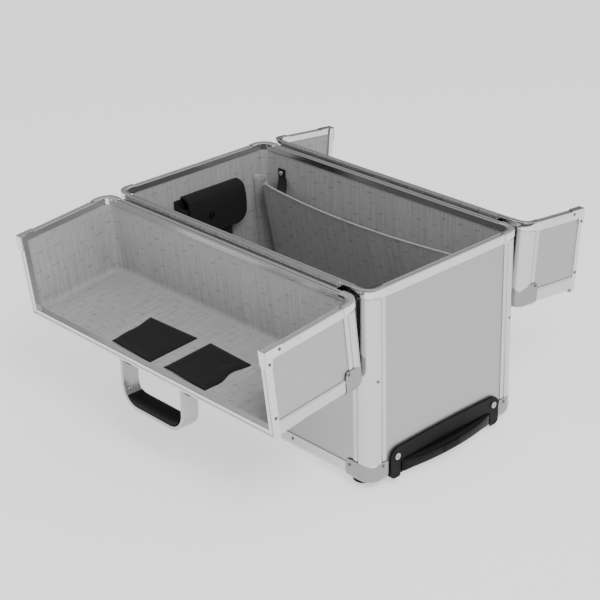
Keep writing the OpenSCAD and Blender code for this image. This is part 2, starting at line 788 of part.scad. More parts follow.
module carry_handle() {
    color([0.75, 0.75, 0.76]) hanging() difference() {
        intersection() {
            across(handle_bar_w) difference() {
                bar_outline(0);
                bar_outline(handle_bar_t);
            }
            translate([-handle_w / 2 - 1, 0, 0]) rotate([90, 0, 90])
                linear_extrude(handle_w + 2) arm_side();
        }
        rotate([0, 90, 0]) cylinder(h = handle_w + 2, r = handle_pin_r + pin_fit, center = true);
    }
}

// The pad fills the inside of the bent bar along its cross bar.
module carry_grip() {
    pad_z = handle_drop - handle_bar_t - grip_pad_t;
    color([0.07, 0.07, 0.07]) hanging() across(grip_pad_w) intersection() {
        bar_outline(handle_bar_t);
        translate([-handle_w / 2, pad_z]) square([handle_w, grip_pad_t]);
    }
}

// Two brackets under the arms, each with two ears and a pin.
module bracket_ear() {
    difference() {
        union() {
            translate([-ear_t / 2, -ear_r, 0]) cube([ear_t, 2 * ear_r, handle_lift]);
            translate([0, 0, handle_lift]) rotate([0, 90, 0]) cylinder(h = ear_t, r = ear_r, center = true);
        }
        translate([0, 0, handle_lift]) rotate([0, 90, 0])
            cylinder(h = ear_t + 2, r = handle_pin_r + pin_fit, center = true);
    }
}

module handle_brackets() {
    base_l = 24;
    base_y0 = -9;
    base_y1 = seam(front_lid_w) - seam_frame_t - handle_pivot_y - 0.2;
    ear_x = handle_bar_t / 2 + ear_gap + ear_t / 2;
    color([0.25, 0.25, 0.25]) opened() for (s = [0, 1]) mirror([s, 0, 0])
        translate([handle_w / 2 - handle_bar_t / 2, handle_pivot_y, top_z]) {
            translate([-base_l / 2, base_y0, -lip_t]) cube([base_l, base_y1 - base_y0, lip_t]);
            for (e = [-1, 1]) translate([e * ear_x, 0, 0]) bracket_ear();
            translate([0, 0, handle_lift]) rotate([0, 90, 0])
                cylinder(h = handle_bar_t + 2 * (ear_gap + ear_t) + 2, r = handle_pin_r, center = true);
        }
}

// ---- latches ----------------------------------------------------------------------------------

latch_x = 150;
latch_pivot_y = seam(back_lid_w) - 30;
latch_lift = 5;                        // height of a lever's pivot over the lid
latch_w = 26;
latch_pin_r = 1.5;
latch_ear_r = 4;
latch_ear_t = 3;
latch_base = [36, 32, 1.5];
latch_base_y = -14;                    // from the pivot back to the base's edge
lever_r = 3;
lever_t = 2.6;
hook_in = 4;                           // the hook is narrower than its lever on each side
hook_t = 2;
keeper = [28, 20, 1.2];
keeper_rib = [20, 2, 2];
keeper_in = 4;                         // from the seam to the keeper's edge

// Base with two ears and its pin, on the top of the back lid.
module latch_bases() {
    ear_x = latch_w / 2 + latch_ear_t / 2 + 0.5;
    color([0.85, 0.85, 0.85]) opened_back() for (s = [-1, 1]) translate([s * latch_x, latch_pivot_y, top_z]) {
        translate([-latch_base[0] / 2, latch_base_y, 0]) cube(latch_base);
        for (e = [-1, 1]) translate([e * ear_x, 0, latch_lift]) rotate([0, 90, 0]) difference() {
            union() {
                cylinder(h = latch_ear_t, r = latch_ear_r, center = true);
                translate([0, -latch_ear_r, -latch_ear_t / 2])
                    cube([latch_lift - latch_base[2], 2 * latch_ear_r, latch_ear_t]);
            }
            cylinder(h = latch_ear_t + 1, r = latch_pin_r + pin_fit, center = true);
        }
        translate([0, 0, latch_lift]) rotate([0, 90, 0])
            cylinder(h = 2 * ear_x + latch_ear_t + 1, r = latch_pin_r, center = true);
    }
}

// Lever whose hook reaches over the seam and down behind the keeper.
module latch_lever(s) {
    reach = seam(back_lid_w) - latch_pivot_y + shell_gap + 12;
    color([0.85, 0.85, 0.85])
    opened_back() translate([s * latch_x, latch_pivot_y, top_z + latch_lift]) difference() {
        union() {
            rotate([0, 90, 0]) cylinder(h = latch_w, r = lever_r, center = true);
            translate([-latch_w / 2, 0, lever_r - lever_t]) cube([latch_w, reach, lever_t]);
            translate([-latch_w / 2 + hook_in, reach - hook_t, lever_r - lever_t - 2.8])
                cube([latch_w - 2 * hook_in, hook_t, 4]);
        }
        rotate([0, 90, 0]) cylinder(h = latch_w + 2, r = latch_pin_r + pin_fit, center = true);
    }
}
module latch_lever_left() { latch_lever(-1); }
module latch_lever_right() { latch_lever(1); }

// Low keeper on the front lid that the hook catches.
module latch_keepers() {
    color([0.85, 0.85, 0.85]) opened() for (s = [-1, 1])
        translate([s * latch_x, seam(front_lid_w) - keeper_in, top_z]) {
            translate([-keeper[0] / 2, -keeper[1], 0]) cube(keeper);
            translate([-keeper_rib[0] / 2, -5.5, keeper[2]]) cube(keeper_rib);
        }
}

// ---- inside ---------------------------------------------------------------------------------------

pouch_x = -body_l / 2 + lined_in;
pouch_d = 19;
pouch_w = 92;
pouch_y = 3.5;
pouch_z1 = base_z + 214;               // top of the pouch at the wall
flap_w = 100;
flap_y = 19;
flap_z = base_z + 217;                 // line where the flap is sewn to the wall
flap_drop = 57;
flap_t = 2;
flap_r = 16;
cloth_t = 2;
gap_soft = 0.4;                        // between the flap and the pouch
mouth_drop = 12;                       // how far the pouch's front edge is lower than its back edge
snap = [pouch_x + pouch_d + gap_soft + flap_t, 6, base_z + 185];
snap_r = 5;
snap_h = 1.5;

// Side view of the pouch in X and Z, whose mouth slopes down towards its front, shrunk by t.
module pouch_side(t = 0) {
    polygon([[pouch_x + t, pouch_z1 - pouch_h + t], [pouch_x + pouch_d - t, pouch_z1 - pouch_h + t],
             [pouch_x + pouch_d - t, pouch_z1 - mouth_drop + t], [pouch_x + t, pouch_z1 + t]]);
}

// Tool pouch, open at the top.
module pouch_body() {
    inner_w = pouch_w - 2 * cloth_t;
    color([0.08, 0.08, 0.08]) difference() {
        translate([0, pouch_y + pouch_w / 2, 0]) rotate([90, 0, 0]) linear_extrude(pouch_w) pouch_side();
        translate([0, pouch_y + inner_w / 2, 0]) rotate([90, 0, 0]) linear_extrude(inner_w)
            pouch_side(cloth_t);
    }
}

// Flap from the wall down over the pouch's sloping mouth and its front.
module pouch_flap() {
    x0 = pouch_x + 0.3;
    x1 = pouch_x + pouch_d + gap_soft;
    z1 = pouch_z1 - mouth_drop + gap_soft;
    color([0.1, 0.1, 0.1]) {
        translate([0, flap_y + flap_w / 2, 0]) rotate([90, 0, 0]) linear_extrude(flap_w)
            polygon([[x0, flap_z - flap_t], [x0, flap_z], [x1 + flap_t, z1 + 1.2],
                     [x1 + flap_t, z1], [x1, z1]]);
        translate([x1, flap_y, z1]) rotate([0, 90, 0]) linear_extrude(flap_t) {
            drop = flap_drop - flap_z + z1;
            translate([(drop - flap_r) / 2, 0]) square([drop - flap_r, flap_w], center = true);
            translate([drop / 2, 0]) square([drop, flap_w - 2 * flap_r], center = true);
            for (s = [-1, 1]) translate([drop - flap_r, s * (flap_w / 2 - flap_r)]) circle(flap_r);
        }
        translate(snap) rotate([0, 90, 0]) cylinder(h = snap_h, r = snap_r);
    }
}

lined_y = body_w / 2 - lined_in;       // face of the lining on the back wall
divider_foot_y = lined_y - 7;
divider_lean = 14;
divider_t = 3;
divider_steps = 12;
divider_z = inside_z + 0.4;
divider_foot_l = 352;                  // length of the divider's foot, and how much longer its top is
divider_flare = 32;
bow_half = 190;                        // half length over which the bow fades out
lean_back = 20;                        // how much the lean is eased at the divider's ends

// Half length of the divider at height fraction f.
function divider_half(f) = (divider_foot_l + divider_flare * f) / 2;
// Front face of the divider at x and height fraction f: it leans and bows forward towards its top.
function divider_y(x, f) = divider_foot_y - divider_t
    - f * (divider_h * tan(divider_lean) - lean_back + divider_bow * (1 - pow(x / bow_half, 2)));

// Rows of corners: foot front, foot back, top front, top back.
module divider() {
    n = divider_steps;
    m = n + 1;
    corners = [for (f = [0, 1]) for (d = [0, divider_t]) for (i = [0 : n])
        let (x = divider_half(f) * (2 * i / n - 1)) [x, divider_y(x, f) + d, divider_z + f * divider_h]];
    front = [for (i = [0 : n - 1]) [i, i + 1, 2 * m + i + 1, 2 * m + i]];
    back = [for (i = [0 : n - 1]) [m + i + 1, m + i, 3 * m + i, 3 * m + i + 1]];
    foot = [for (i = [0 : n - 1]) [i + 1, i, m + i, m + i + 1]];
    top = [for (i = [0 : n - 1]) [2 * m + i, 2 * m + i + 1, 3 * m + i + 1, 3 * m + i]];
    ends = [[0, 2 * m, 3 * m, m], [n, m + n, 3 * m + n, 2 * m + n]];
    color([0.6, 0.6, 0.6]) polyhedron(corners, concat(front, back, foot, top, ends));
}

// Cloth gussets that close the ends of the pocket behind the divider.
module divider_gussets() {
    gusset_x = 194;
    gusset_t = 1;
    wall_y = lined_y - 0.2;
    color([0.7, 0.7, 0.7]) for (s = [-1, 1])
        translate([s * gusset_x - gusset_t / 2, 0, 0]) rotate([90, 0, 90]) linear_extrude(gusset_t)
            polygon([[wall_y, divider_z], [divider_y(bow_half, 0), divider_z],
                     [divider_y(bow_half, 1), divider_z + divider_h - 2],
                     [wall_y, divider_z + divider_h - 14]]);
}

// Webbing tabs on the back wall with their rivets, above the divider's two top corners.
module divider_straps() {
    strap = [13, 1.6, 36];
    strap_x = 185.5;
    strap_z = base_z + 188;
    strap_rivet_r = 4;
    color([0.08, 0.08, 0.08]) for (s = [-1, 1]) translate([s * strap_x, lined_y - strap[1], strap_z]) {
        translate([-strap[0] / 2, 0, 0]) cube(strap);
        translate([0, 0, strap[2] - 9]) rotate([90, 0, 0]) cylinder(h = 1.4, r = strap_rivet_r);
    }
}

// ---- assembly ---------------------------------------------------------------------------------------

long_panels();
left_end_panel();
right_end_panel();
bottom_panel();
corner_posts();
body_rim();
bottom_profile();
base_ball_corners();
body_rim_clips();
body_rivets();
feet();
end_feet();
body_lining();
false_floor();
floor_bearers();
handle_outer_tubes();
handle_base_plate();
base_plate_screws();
wheel_housings();
wheel_axles();
hinge_body_leaves();
hinge_pins();
pouch_body();
pouch_flap();
divider();
divider_gussets();
divider_straps();
front_lid_walls();
front_lid_top();
front_lid_posts();
front_lid_edging();
front_lid_rim();
front_lid_corners();
front_lid_rivets();
front_lid_lining();
front_lid_hinge();
front_pocket_left();
front_pocket_right();
handle_brackets();
latch_keepers();
back_lid_walls();
back_lid_top();
back_lid_posts();
back_lid_edging();
back_lid_rim();
back_lid_corners();
back_lid_rivets();
back_lid_lining();
back_lid_hinge();
latch_bases();
latch_lever_left();
latch_lever_right();
carry_handle();
carry_grip();
handle_middle_tubes();
handle_inner_tubes();
telescopic_grip();
grip_button();
front_wheel();
back_wheel();
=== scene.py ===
"""Looks of the open makeup train case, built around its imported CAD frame.

The frame, the materials and the studio are in metres. The shapes are worked out in millimetres.
"""

import json
import math

import bmesh
import bpy
from mathutils import Matrix, Vector, noise


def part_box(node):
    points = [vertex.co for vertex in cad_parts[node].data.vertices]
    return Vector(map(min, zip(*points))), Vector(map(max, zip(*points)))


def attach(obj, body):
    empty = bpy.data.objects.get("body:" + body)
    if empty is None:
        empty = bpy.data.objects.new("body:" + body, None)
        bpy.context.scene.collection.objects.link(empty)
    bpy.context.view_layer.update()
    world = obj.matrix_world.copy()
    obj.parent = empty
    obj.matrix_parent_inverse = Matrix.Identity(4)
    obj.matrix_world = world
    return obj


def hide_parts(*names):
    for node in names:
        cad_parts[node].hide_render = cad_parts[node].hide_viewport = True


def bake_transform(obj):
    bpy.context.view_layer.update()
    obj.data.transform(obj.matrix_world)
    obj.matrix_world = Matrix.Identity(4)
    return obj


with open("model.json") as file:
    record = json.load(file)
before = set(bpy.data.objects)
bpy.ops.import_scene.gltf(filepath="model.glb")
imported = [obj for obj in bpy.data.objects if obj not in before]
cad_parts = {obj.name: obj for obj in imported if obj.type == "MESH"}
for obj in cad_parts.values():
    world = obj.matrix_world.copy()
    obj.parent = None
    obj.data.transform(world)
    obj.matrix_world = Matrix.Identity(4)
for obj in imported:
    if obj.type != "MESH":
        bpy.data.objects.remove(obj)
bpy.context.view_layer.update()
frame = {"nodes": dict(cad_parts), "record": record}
NODES = frame["nodes"]
JOINTS = {j["name"]: j for j in frame["record"]["behaviour"]["joints"]}
MM = 0.001

# ---- the case's own dimensions, read from the frame ----

RIM_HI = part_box("body_rim")[1]
BASE_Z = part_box("bottom_profile")[0].z
HALF_L = RIM_HI.x
HALF_W = RIM_HI.y
RIM_Z = RIM_HI.z
CORNER_R = HALF_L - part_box("long_panels")[1].x
LINING_LO, LINING_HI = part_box("body_lining")
FLOOR_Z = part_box("false_floor")[1].z


def lid_matrix(side):
    """Takes a shut front lid to its open place; the back lid is a front lid mirrored."""
    joint = JOINTS["front_lid_hinge"]
    pin = Vector(joint["pos_m"])
    turn = Matrix.Rotation(math.radians(max(joint["range_deg"])), 4, "X")
    opened = Matrix.Translation(pin) @ turn @ Matrix.Translation(-pin)
    if side == "back":
        return Matrix.Diagonal((1, -1, 1, 1)) @ opened
    return opened


LID = {side: lid_matrix(side) for side in ("front", "back")}


def extent(points):
    """Both corners of the box round some points."""
    return [Vector([pick(p[i] for p in points) for i in range(3)]) for pick in (min, max)]


def box_mm(node):
    """Both corners of a CAD node's box, in millimetres."""
    return [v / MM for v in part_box(node)]


def shut_box(node, side):
    """Box of a lid's CAD node with the lid shut and, for the back lid, mirrored to the front."""
    back = LID[side].inverted()
    return extent([back @ v.co for v in NODES[node].data.vertices])


# ---- materials ----

class Nodes:
    """Small helper that adds and links shader nodes in one material, or in the world."""

    def __init__(self, name, world=False):
        self.material = (bpy.data.worlds if world else bpy.data.materials).new(name)
        self.material.use_nodes = True
        self.tree = self.material.node_tree
        self.shader = self.tree.nodes["Background" if world else "Principled BSDF"]

    def put(self, socket, value):
        if isinstance(value, bpy.types.NodeSocket):
            self.tree.links.new(value, socket)
        else:
            socket.default_value = value

    def add(self, kind, values=None, **settings):
        node = self.tree.nodes.new(kind)
        for key, value in settings.items():
            setattr(node, key, value)
        for key, value in (values or {}).items():
            self.put(node.inputs[key], value)
        return node

    def set(self, **values):
        for key, value in values.items():
            self.put(self.shader.inputs[key.replace("_", " ")], value)

    def coords(self, kind="Object"):
        return self.add("ShaderNodeTexCoord").outputs[kind]

    def scaled(self, vector, scale):
        return self.add("ShaderNodeMapping", {"Vector": vector, "Scale": scale}).outputs[0]

    def noise(self, vector, scale, detail=3.0):
        values = {"Vector": vector, "Scale": scale, "Detail": detail}
        return self.add("ShaderNodeTexNoise", values).outputs[0]

    def math(self, operation, a, b=0.0):
        return self.add("ShaderNodeMath", {0: a, 1: b}, operation=operation).outputs[0]

    def times(self, first, *others):
        for other in others:
            first = self.math("MULTIPLY", first, other)
        return first

    def plus(self, a, b):
        return self.math("ADD", a, b)

    def minus(self, a, b):
        return self.math("SUBTRACT", a, b)

    def vector(self, x, y, z):
        return self.add("ShaderNodeCombineXYZ", {0: x, 1: y, 2: z}).outputs[0]

    def parts(self, vector):
        return self.add("ShaderNodeSeparateXYZ", {"Vector": vector}).outputs

    def ramp(self, value, lo, hi, out_lo, out_hi):
        values = {0: value, 1: lo, 2: hi, 3: out_lo, 4: out_hi}
        return self.add("ShaderNodeMapRange", values).outputs[0]

    def mix(self, factor, a, b):
        return self.add("ShaderNodeMix", {0: factor, 6: a, 7: b}, data_type="RGBA").outputs[2]

    def bump(self, height, distance):
        values = {"Height": height, "Distance": distance, "Strength": 1.0}
        return self.add("ShaderNodeBump", values).outputs[0]


def grey(value, alpha=1.0):
    return (value, value, value, alpha)


def metal(name, tone, rough, grain=0.0, metallic=0.9, stretch=(1, 1, 1), grain_scale=900.0, cloud=0.03):
    """Metal with slow tone clouds, uneven roughness and, if grain is over 0, a fine drawn grain."""
    n = Nodes(name)
    place = n.coords()
    clouds = n.noise(place, 9.0, 4.0)
    n.set(Base_Color=n.mix(clouds, grey(tone * (1 - cloud)), grey(min(1, tone * (1 + cloud)))))
    n.set(Metallic=metallic)
    fine = n.noise(n.scaled(place, stretch), grain_scale, 2.0)
    n.set(Roughness=n.ramp(fine, 0.3, 0.7, rough - 0.03, rough + 0.03))
    if grain > 0:
        n.set(Normal=n.bump(fine, grain))
    return n.material


def plastic(name, tone, rough, grain_scale=1400.0, depth=0.00004):
    """Moulded plastic with a fine leathery grain and faint handling wear."""
    n = Nodes(name)
    place = n.coords()
    cells = n.add("ShaderNodeTexVoronoi", {"Vector": place, "Scale": grain_scale}).outputs[0]
    wear = n.noise(place, 22.0, 5.0)
    n.set(Base_Color=n.mix(wear, grey(tone * 0.8), grey(tone * 1.3)))
    n.set(Roughness=n.ramp(wear, 0.3, 0.7, rough - 0.05, rough + 0.06))
    n.set(Normal=n.bump(cells, depth), Specular_IOR_Level=0.10)
    return n.material


def cloth(name, tone, weave=1100.0, depth=0.00012, sheen=0.25):
    """Plain woven cloth: crossed threads from two waves, with slubs and slow tone clouds."""
    n = Nodes(name)
    place = n.coords()
    x, y, z = n.parts(place)
    warp = n.math("SINE", n.times(n.plus(x, y), weave * 2.4))
    weft = n.math("SINE", n.times(n.plus(z, y), weave * 2.4))
    threads = n.times(warp, weft)
    slubs = n.noise(n.scaled(place, (1, 1, 0.15)), 420.0, 3.0)
    clouds = n.noise(place, 25.0, 4.0)
    base = n.mix(clouds, grey(tone * 0.8), grey(tone * 1.25))
    n.set(Base_Color=n.mix(n.ramp(slubs, 0.45, 0.75, 0.0, 0.35), base, grey(tone * 1.9)))
    n.set(Roughness=0.85, Sheen_Weight=sheen, Sheen_Roughness=0.5, Specular_IOR_Level=0.25)
    n.set(Normal=n.bump(n.plus(n.times(threads, 0.5), slubs), depth))
    return n.material


def lining_cloth(name, tone, tilt=0.0, painted_depth_shade=0.0):
    """Grey lining: fine upright streaks and small staggered flecks, laid on each wall by its direction.

    tilt turns the pattern about X, for a lid that hangs a few degrees off square; painted_depth_shade
    paints shade into it, darker towards the floor of the body where shade falls.
    """
    n = Nodes(name)
    turned = n.add("ShaderNodeMapping", {"Vector": n.coords(), "Rotation": (tilt, 0, 0)}).outputs[0]
    facing = n.add("ShaderNodeMapping", {"Vector": n.coords("Normal"), "Rotation": (tilt, 0, 0)}).outputs[0]
    x, y, z = n.parts(turned)
    facing_x, _, facing_z = n.parts(facing)
    on_end = n.math("GREATER_THAN", n.math("ABSOLUTE", facing_x), 0.7)
    on_floor = n.math("GREATER_THAN", n.math("ABSOLUTE", facing_z), 0.7)
    # u runs along the wall, v up it; on the floor v runs across.
    u = n.plus(n.times(x, n.minus(1.0, on_end)), n.times(y, on_end))
    v = n.plus(n.times(z, n.minus(1.0, on_floor)), n.times(y, on_floor))
    row_h, pitch, fleck = 0.0125, 0.027, 0.0105
    row = n.math("DIVIDE", v, row_h)
    row_id = n.math("FLOOR", row)
    shift = n.times(n.math("FRACT", n.times(row_id, 0.381)), pitch)
    cell = n.math("DIVIDE", n.plus(u, shift), pitch)
    ids = n.vector(row_id, n.math("FLOOR", cell), 3.7)
    chance = n.add("ShaderNodeTexWhiteNoise", {"Vector": ids}, noise_dimensions="3D")
    # A fleck is a short slanted bar, broken up by fine noise.
    fine = n.noise(n.vector(u, v, 0.0), 900.0, 2.0)
    du = n.times(n.minus(n.math("FRACT", cell), 0.5), pitch)
    dv = n.times(n.minus(n.math("FRACT", row), 0.5), row_h)
    inside_u = n.ramp(n.math("ABSOLUTE", du), fleck * 0.35, fleck * 0.55, 1.0, 0.0)
    inside_v = n.ramp(n.math("ABSOLUTE", n.minus(dv, n.times(du, 0.12))), 0.0003, 0.0013, 1.0, 0.0)
    shown = n.math("GREATER_THAN", chance.outputs[0], 0.22)
    broken = n.ramp(fine, 0.38, 0.6, 0.0, 1.0)
    faded = n.ramp(chance.outputs[0], 0.2, 1.0, 0.5, 1.0)
    flecks = n.times(inside_u, inside_v, shown, broken, faded)
    # Warp streaks: noise stretched along v, at two widths.
    streak_at = n.vector(u, n.times(v, 0.03), 0.0)
    wide = n.noise(streak_at, 260.0, 3.0)
    thin = n.noise(streak_at, 1300.0, 2.0)
    slubs = n.noise(n.vector(u, n.times(v, 0.15), 1.0), 700.0, 2.0)
    tone_map = n.plus(n.times(wide, 0.5), n.times(thin, 0.5))
    base = n.mix(n.ramp(tone_map, 0.35, 0.65, 0.0, 1.0), grey(tone * 0.80), grey(tone * 1.16))
    base = n.mix(n.ramp(slubs, 0.6, 0.8, 0.0, 0.5), base, grey(min(1, tone * 1.6)))
    # Painted shade: the cloth is darkened towards the floor of the body, where shade falls in the deep box.
    if painted_depth_shade > 0:
        depth = n.ramp(z, FLOOR_Z, RIM_Z, 1.0, 0.0)
        base = n.mix(n.times(depth, painted_depth_shade), base, grey(tone * 0.35))
    n.set(Base_Color=n.mix(flecks, base, grey(tone * 0.34)))
    n.set(Roughness=0.78, Sheen_Weight=0.2, Sheen_Roughness=0.4, Specular_IOR_Level=0.3)
    n.set(Normal=n.bump(n.plus(n.times(thin, 0.7), n.times(fine, 0.5)), 0.00012))
    return n.material


TILT = -math.radians(max(JOINTS["front_lid_hinge"]["range_deg"]) - 180)
MAT = {
    "panel": metal("panel_satin", 0.43, 0.40, grain=0.00001, metallic=0.8, cloud=0.015),
    "profile": metal("profile_satin", 0.60, 0.20, grain=0.00001, metallic=1.0, stretch=(1, 1, 0.02)),
    "chrome": metal("chrome_plate", 0.72, 0.09, metallic=1.0, grain_scale=200.0, cloud=0.01),
    "rivet": metal("rivet_steel", 0.16, 0.34, metallic=0.9),
    "steel": metal("hinge_steel", 0.50, 0.28, metallic=1.0),
    "tube": metal("drawn_tube", 0.56, 0.30, grain=0.00001, metallic=0.9, stretch=(0.02, 1, 1)),
    "handle": metal("handle_satin", 0.46, 0.30, grain=0.00002, metallic=0.95, stretch=(1, 0.05, 1)),
    "rim": metal("rim_satin", 0.68, 0.20, grain=0.00001, metallic=1.0, cloud=0.02),
    # Darker copy of the chrome for the pressed corners: a rougher satin finish, and a low tone that paints in
    # the dark reflections they show.
    "chrome_soft": metal("chrome_satin_painted_dark", 0.30, 0.17, metallic=1.0, grain_scale=200.0, cloud=0.03),
    "lining": lining_cloth("lining_body", tone=0.47, painted_depth_shade=0.6),
    "lining_divider": lining_cloth("lining_divider", tone=0.42, painted_depth_shade=0.4),
    "lining_front": lining_cloth("lining_front_lid", tone=0.41, tilt=TILT),
    "lining_back": lining_cloth("lining_back_lid", tone=0.41, tilt=-TILT),
    "black_cloth": cloth("black_nylon", 0.009, sheen=0.06),
    "webbing": cloth("black_webbing", 0.009, weave=700.0, depth=0.0003, sheen=0.06),
    "plastic": plastic("black_plastic", 0.010, 0.50),
    "gloss": plastic("black_gloss", 0.007, 0.28, depth=0.00001),
    "rubber": plastic("black_rubber", 0.009, 0.55, grain_scale=900.0, depth=0.00006),
    "tyre": plastic("wheel_tyre", 0.012, 0.6, grain_scale=600.0),
    "board": cloth("board_wood", 0.3, weave=150.0),
}
# The slots whose material has another name.
SLOT_MATERIAL = {
    "chrome_fitting": "chrome", "hinge_steel": "steel", "black_plastic": "plastic", "gloss_black": "gloss",
}


def dress_cad():
    """Gives every CAD node the material of its slot."""
    for part in frame["record"]["subparts"]:
        node = NODES[part["node"]]
        slot = part["material_slot"]
        material = MAT[SLOT_MATERIAL.get(slot, slot)]
        node.data.materials.clear()
        node.data.materials.append(material)


dress_cad()
NODES["carry_handle"].data.materials[0] = MAT["handle"]

# ---- mesh helpers: the shapes are worked out in millimetres ----

def loft(rows, wrap_rows=False, wrap_cols=False, caps=False):
    """Points and faces of a surface through rows of points; caps close its first and last row."""
    count = len(rows[0])
    faces = []
    for i in range(len(rows) if wrap_rows else len(rows) - 1):
        a, b = i * count, ((i + 1) % len(rows)) * count
        for j in range(count if wrap_cols else count - 1):
            k = (j + 1) % count
            faces.append((a + j, a + k, b + k, b + j))
    if caps:
        last = (len(rows) - 1) * count
        faces.append(tuple(reversed(range(count))))
        faces.append(tuple(range(last, last + count)))
    return [p for row in rows for p in row], faces


def solid(rows):
    """Points and faces of a closed solid through rows that each go once round it."""
    return loft(rows, wrap_cols=True, caps=True)


def joined(shapes):
    """Several (points, faces) as one."""
    points, faces = [], []
    for more_points, more_faces in shapes:
        base = len(points)
        points += list(more_points)
        faces += [tuple(i + base for i in face) for face in more_faces]
    return points, faces


def prism(outline, place, t0, t1):
    """Flat plate with that outline; place turns (u, v, t) into a point."""
    rows = [[place(u, v, t) for u, v in outline] for t in (t0, t1)]
    return solid(rows)


def rectangle(u0, u1, v0, v1):
    return [(u0, v0), (u1, v0), (u1, v1), (u0, v1)]


def rounded_outline(points, radii):
    """Closed outline with its corners rounded; radii is one number or one for each corner."""
    steps = 4
    if not hasattr(radii, "__len__"):
        radii = [radii] * len(points)
    out = []
    for i, r in enumerate(radii):
        here = Vector(points[i])
        before = (Vector(points[i - 1]) - here)
        after = (Vector(points[(i + 1) % len(points)]) - here)
        if r <= 0:
            out.append(tuple(here))
            continue
        half = before.angle(after) / 2
        run = min(r / math.tan(half), before.length * 0.49, after.length * 0.49)
        a = here + before.normalized() * run
        b = here + after.normalized() * run
        for k in range(steps + 1):
            t = k / steps
            p = a.lerp(here, t).lerp(here.lerp(b, t), t)
            out.append((p.x, p.y))
    return out


def spread(lo, hi, count):
    """Evenly spaced numbers from lo to hi, ends included."""
    return [lo + (hi - lo) * i / (count - 1) for i in range(count)]


def cos_sin(degrees):
    return math.cos(math.radians(degrees)), math.sin(math.radians(degrees))


def ripple(*place):
    """Smooth noise from about -1 to 1 at a place."""
    return noise.noise(Vector(place))


def corner_arc(sx, sy, half_l, half_w, r, steps=10):
    """Stations (x, y, nx, ny) round one corner, counter-clockwise."""
    start = {(1, 1): 0, (-1, 1): 90, (-1, -1): 180, (1, -1): 270}[(sx, sy)]
    out = []
    for angle in spread(start, start + 90, steps + 1):
        nx, ny = cos_sin(angle)
        out.append((sx * (half_l - r) + r * nx, sy * (half_w - r) + r * ny, nx, ny))
    return out


def filled(stations, step, wrap):
    """The stations with more of them along each straight run."""
    out = []
    pairs = list(zip(stations, stations[1:] + stations[:1]))
    for a, b in pairs if wrap else pairs[:-1]:
        out.append(a)
        run = math.hypot(b[0] - a[0], b[1] - a[1])
        extra = int(run // step) if run > 1.5 * step else 0
        for i in range(1, extra):
            t = i / extra
            out.append(tuple(a[k] + (b[k] - a[k]) * t for k in range(4)))
    return out if wrap else out + [stations[-1]]


def ring_path(half_l, half_w, r, step=1e9):
    stations = []
    for sx, sy in ((1, 1), (-1, 1), (-1, -1), (1, -1)):
        stations += corner_arc(sx, sy, half_l, half_w, r)
    return filled(stations, step, True)


def lid_path(seam, half_l, half_w, r, step=1e9):
    """From the seam round a shut front lid and back to the seam."""
    stations = [(-half_l, seam, -1.0, 0.0)]
    for sx in (-1, 1):
        stations += corner_arc(sx, -1, half_l, half_w, r)
    return filled(stations + [(half_l, seam, 1.0, 0.0)], step, False)


def corner_path(sx, sy, end_run, long_run, steps=10):
    """Round one corner of the case, with a run along its end and one along its long side."""
    arc = corner_arc(1, 1, HL, HW, CR, steps)
    path = [(HL, HW - CR - end_run, 1.0, 0.0)] + arc + [(HL - CR - long_run, HW, 0.0, 1.0)]
    path = [(sx * x, sy * y, sx * nx, sy * ny) for x, y, nx, ny in path]
    return path if sx * sy > 0 else path[::-1]


def sweep(path, section, wrap=False, closed=True):
    """Sweeps a section of (distance outwards, height) along stations."""
    rows = [[(x + nx * d, y + ny * d, z) for d, z in section] for x, y, nx, ny in path]
    return loft(rows, wrap_rows=wrap, wrap_cols=closed, caps=closed and not wrap)


def piece(name, shape, material, body, replaces=(), side=None, crease=34, bevel=0.0, thick=0.0):
    """Makes an object from a shape in millimetres; side puts a shut lid's shape in its open place."""
    points, faces = shape
    place = LID[side] if side else Matrix.Identity(4)
    mesh = bpy.data.meshes.new(name)
    mesh.from_pydata([place @ (Vector(p) * MM) for p in points], [], faces)
    edit = bmesh.new()
    edit.from_mesh(mesh)
    bmesh.ops.recalc_face_normals(edit, faces=edit.faces)
    edit.to_mesh(mesh)
    edit.free()
    for face in mesh.polygons:
        face.use_smooth = True
    mesh.set_sharp_from_angle(angle=math.radians(crease))
    mesh.materials.append(MAT[material])
    obj = bpy.data.objects.new(name, mesh)
    bpy.context.scene.collection.objects.link(obj)
    if thick:
        shell = obj.modifiers.new("thickness", "SOLIDIFY")
        shell.thickness = thick * MM
        shell.offset = -1
    if bevel:
        soften(obj, bevel)
    if body:
        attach(obj, body)
    if replaces:
        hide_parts(*replaces)
    return obj


def islands(points, polygons):
    """Boxes of a mesh's separate solids, from its points and faces."""
    parent = list(range(len(points)))

    def root(i):
        while parent[i] != i:
            parent[i] = parent[parent[i]]
            i = parent[i]
        return i

    for polygon in polygons:
        for i in polygon[1:]:
            parent[root(i)] = root(polygon[0])
    groups = {}
    for i, p in enumerate(points):
        groups.setdefault(root(i), []).append(p)
    return merged(groups.values())


def merged(groups):
    """Boxes of the groups, with those that overlap joined, because a solid may come as several faces."""
    boxes = []
    for group in groups:
        lo, hi = extent(group)
        for box in boxes:
            if all(lo[i] <= box[1][i] + 0.2 and hi[i] >= box[0][i] - 0.2 for i in range(3)):
                box[:] = extent([lo, hi] + box)
                break
        else:
            boxes.append([lo, hi])
    return boxes


def solid_boxes(node, side=None):
    """Boxes of the separate solids of a CAD node, with its lid shut if side names one."""
    back = LID[side].inverted() if side else Matrix.Identity(4)
    mesh = NODES[node].data
    return islands([(back @ v.co) / MM for v in mesh.vertices], [tuple(p.vertices) for p in mesh.polygons])


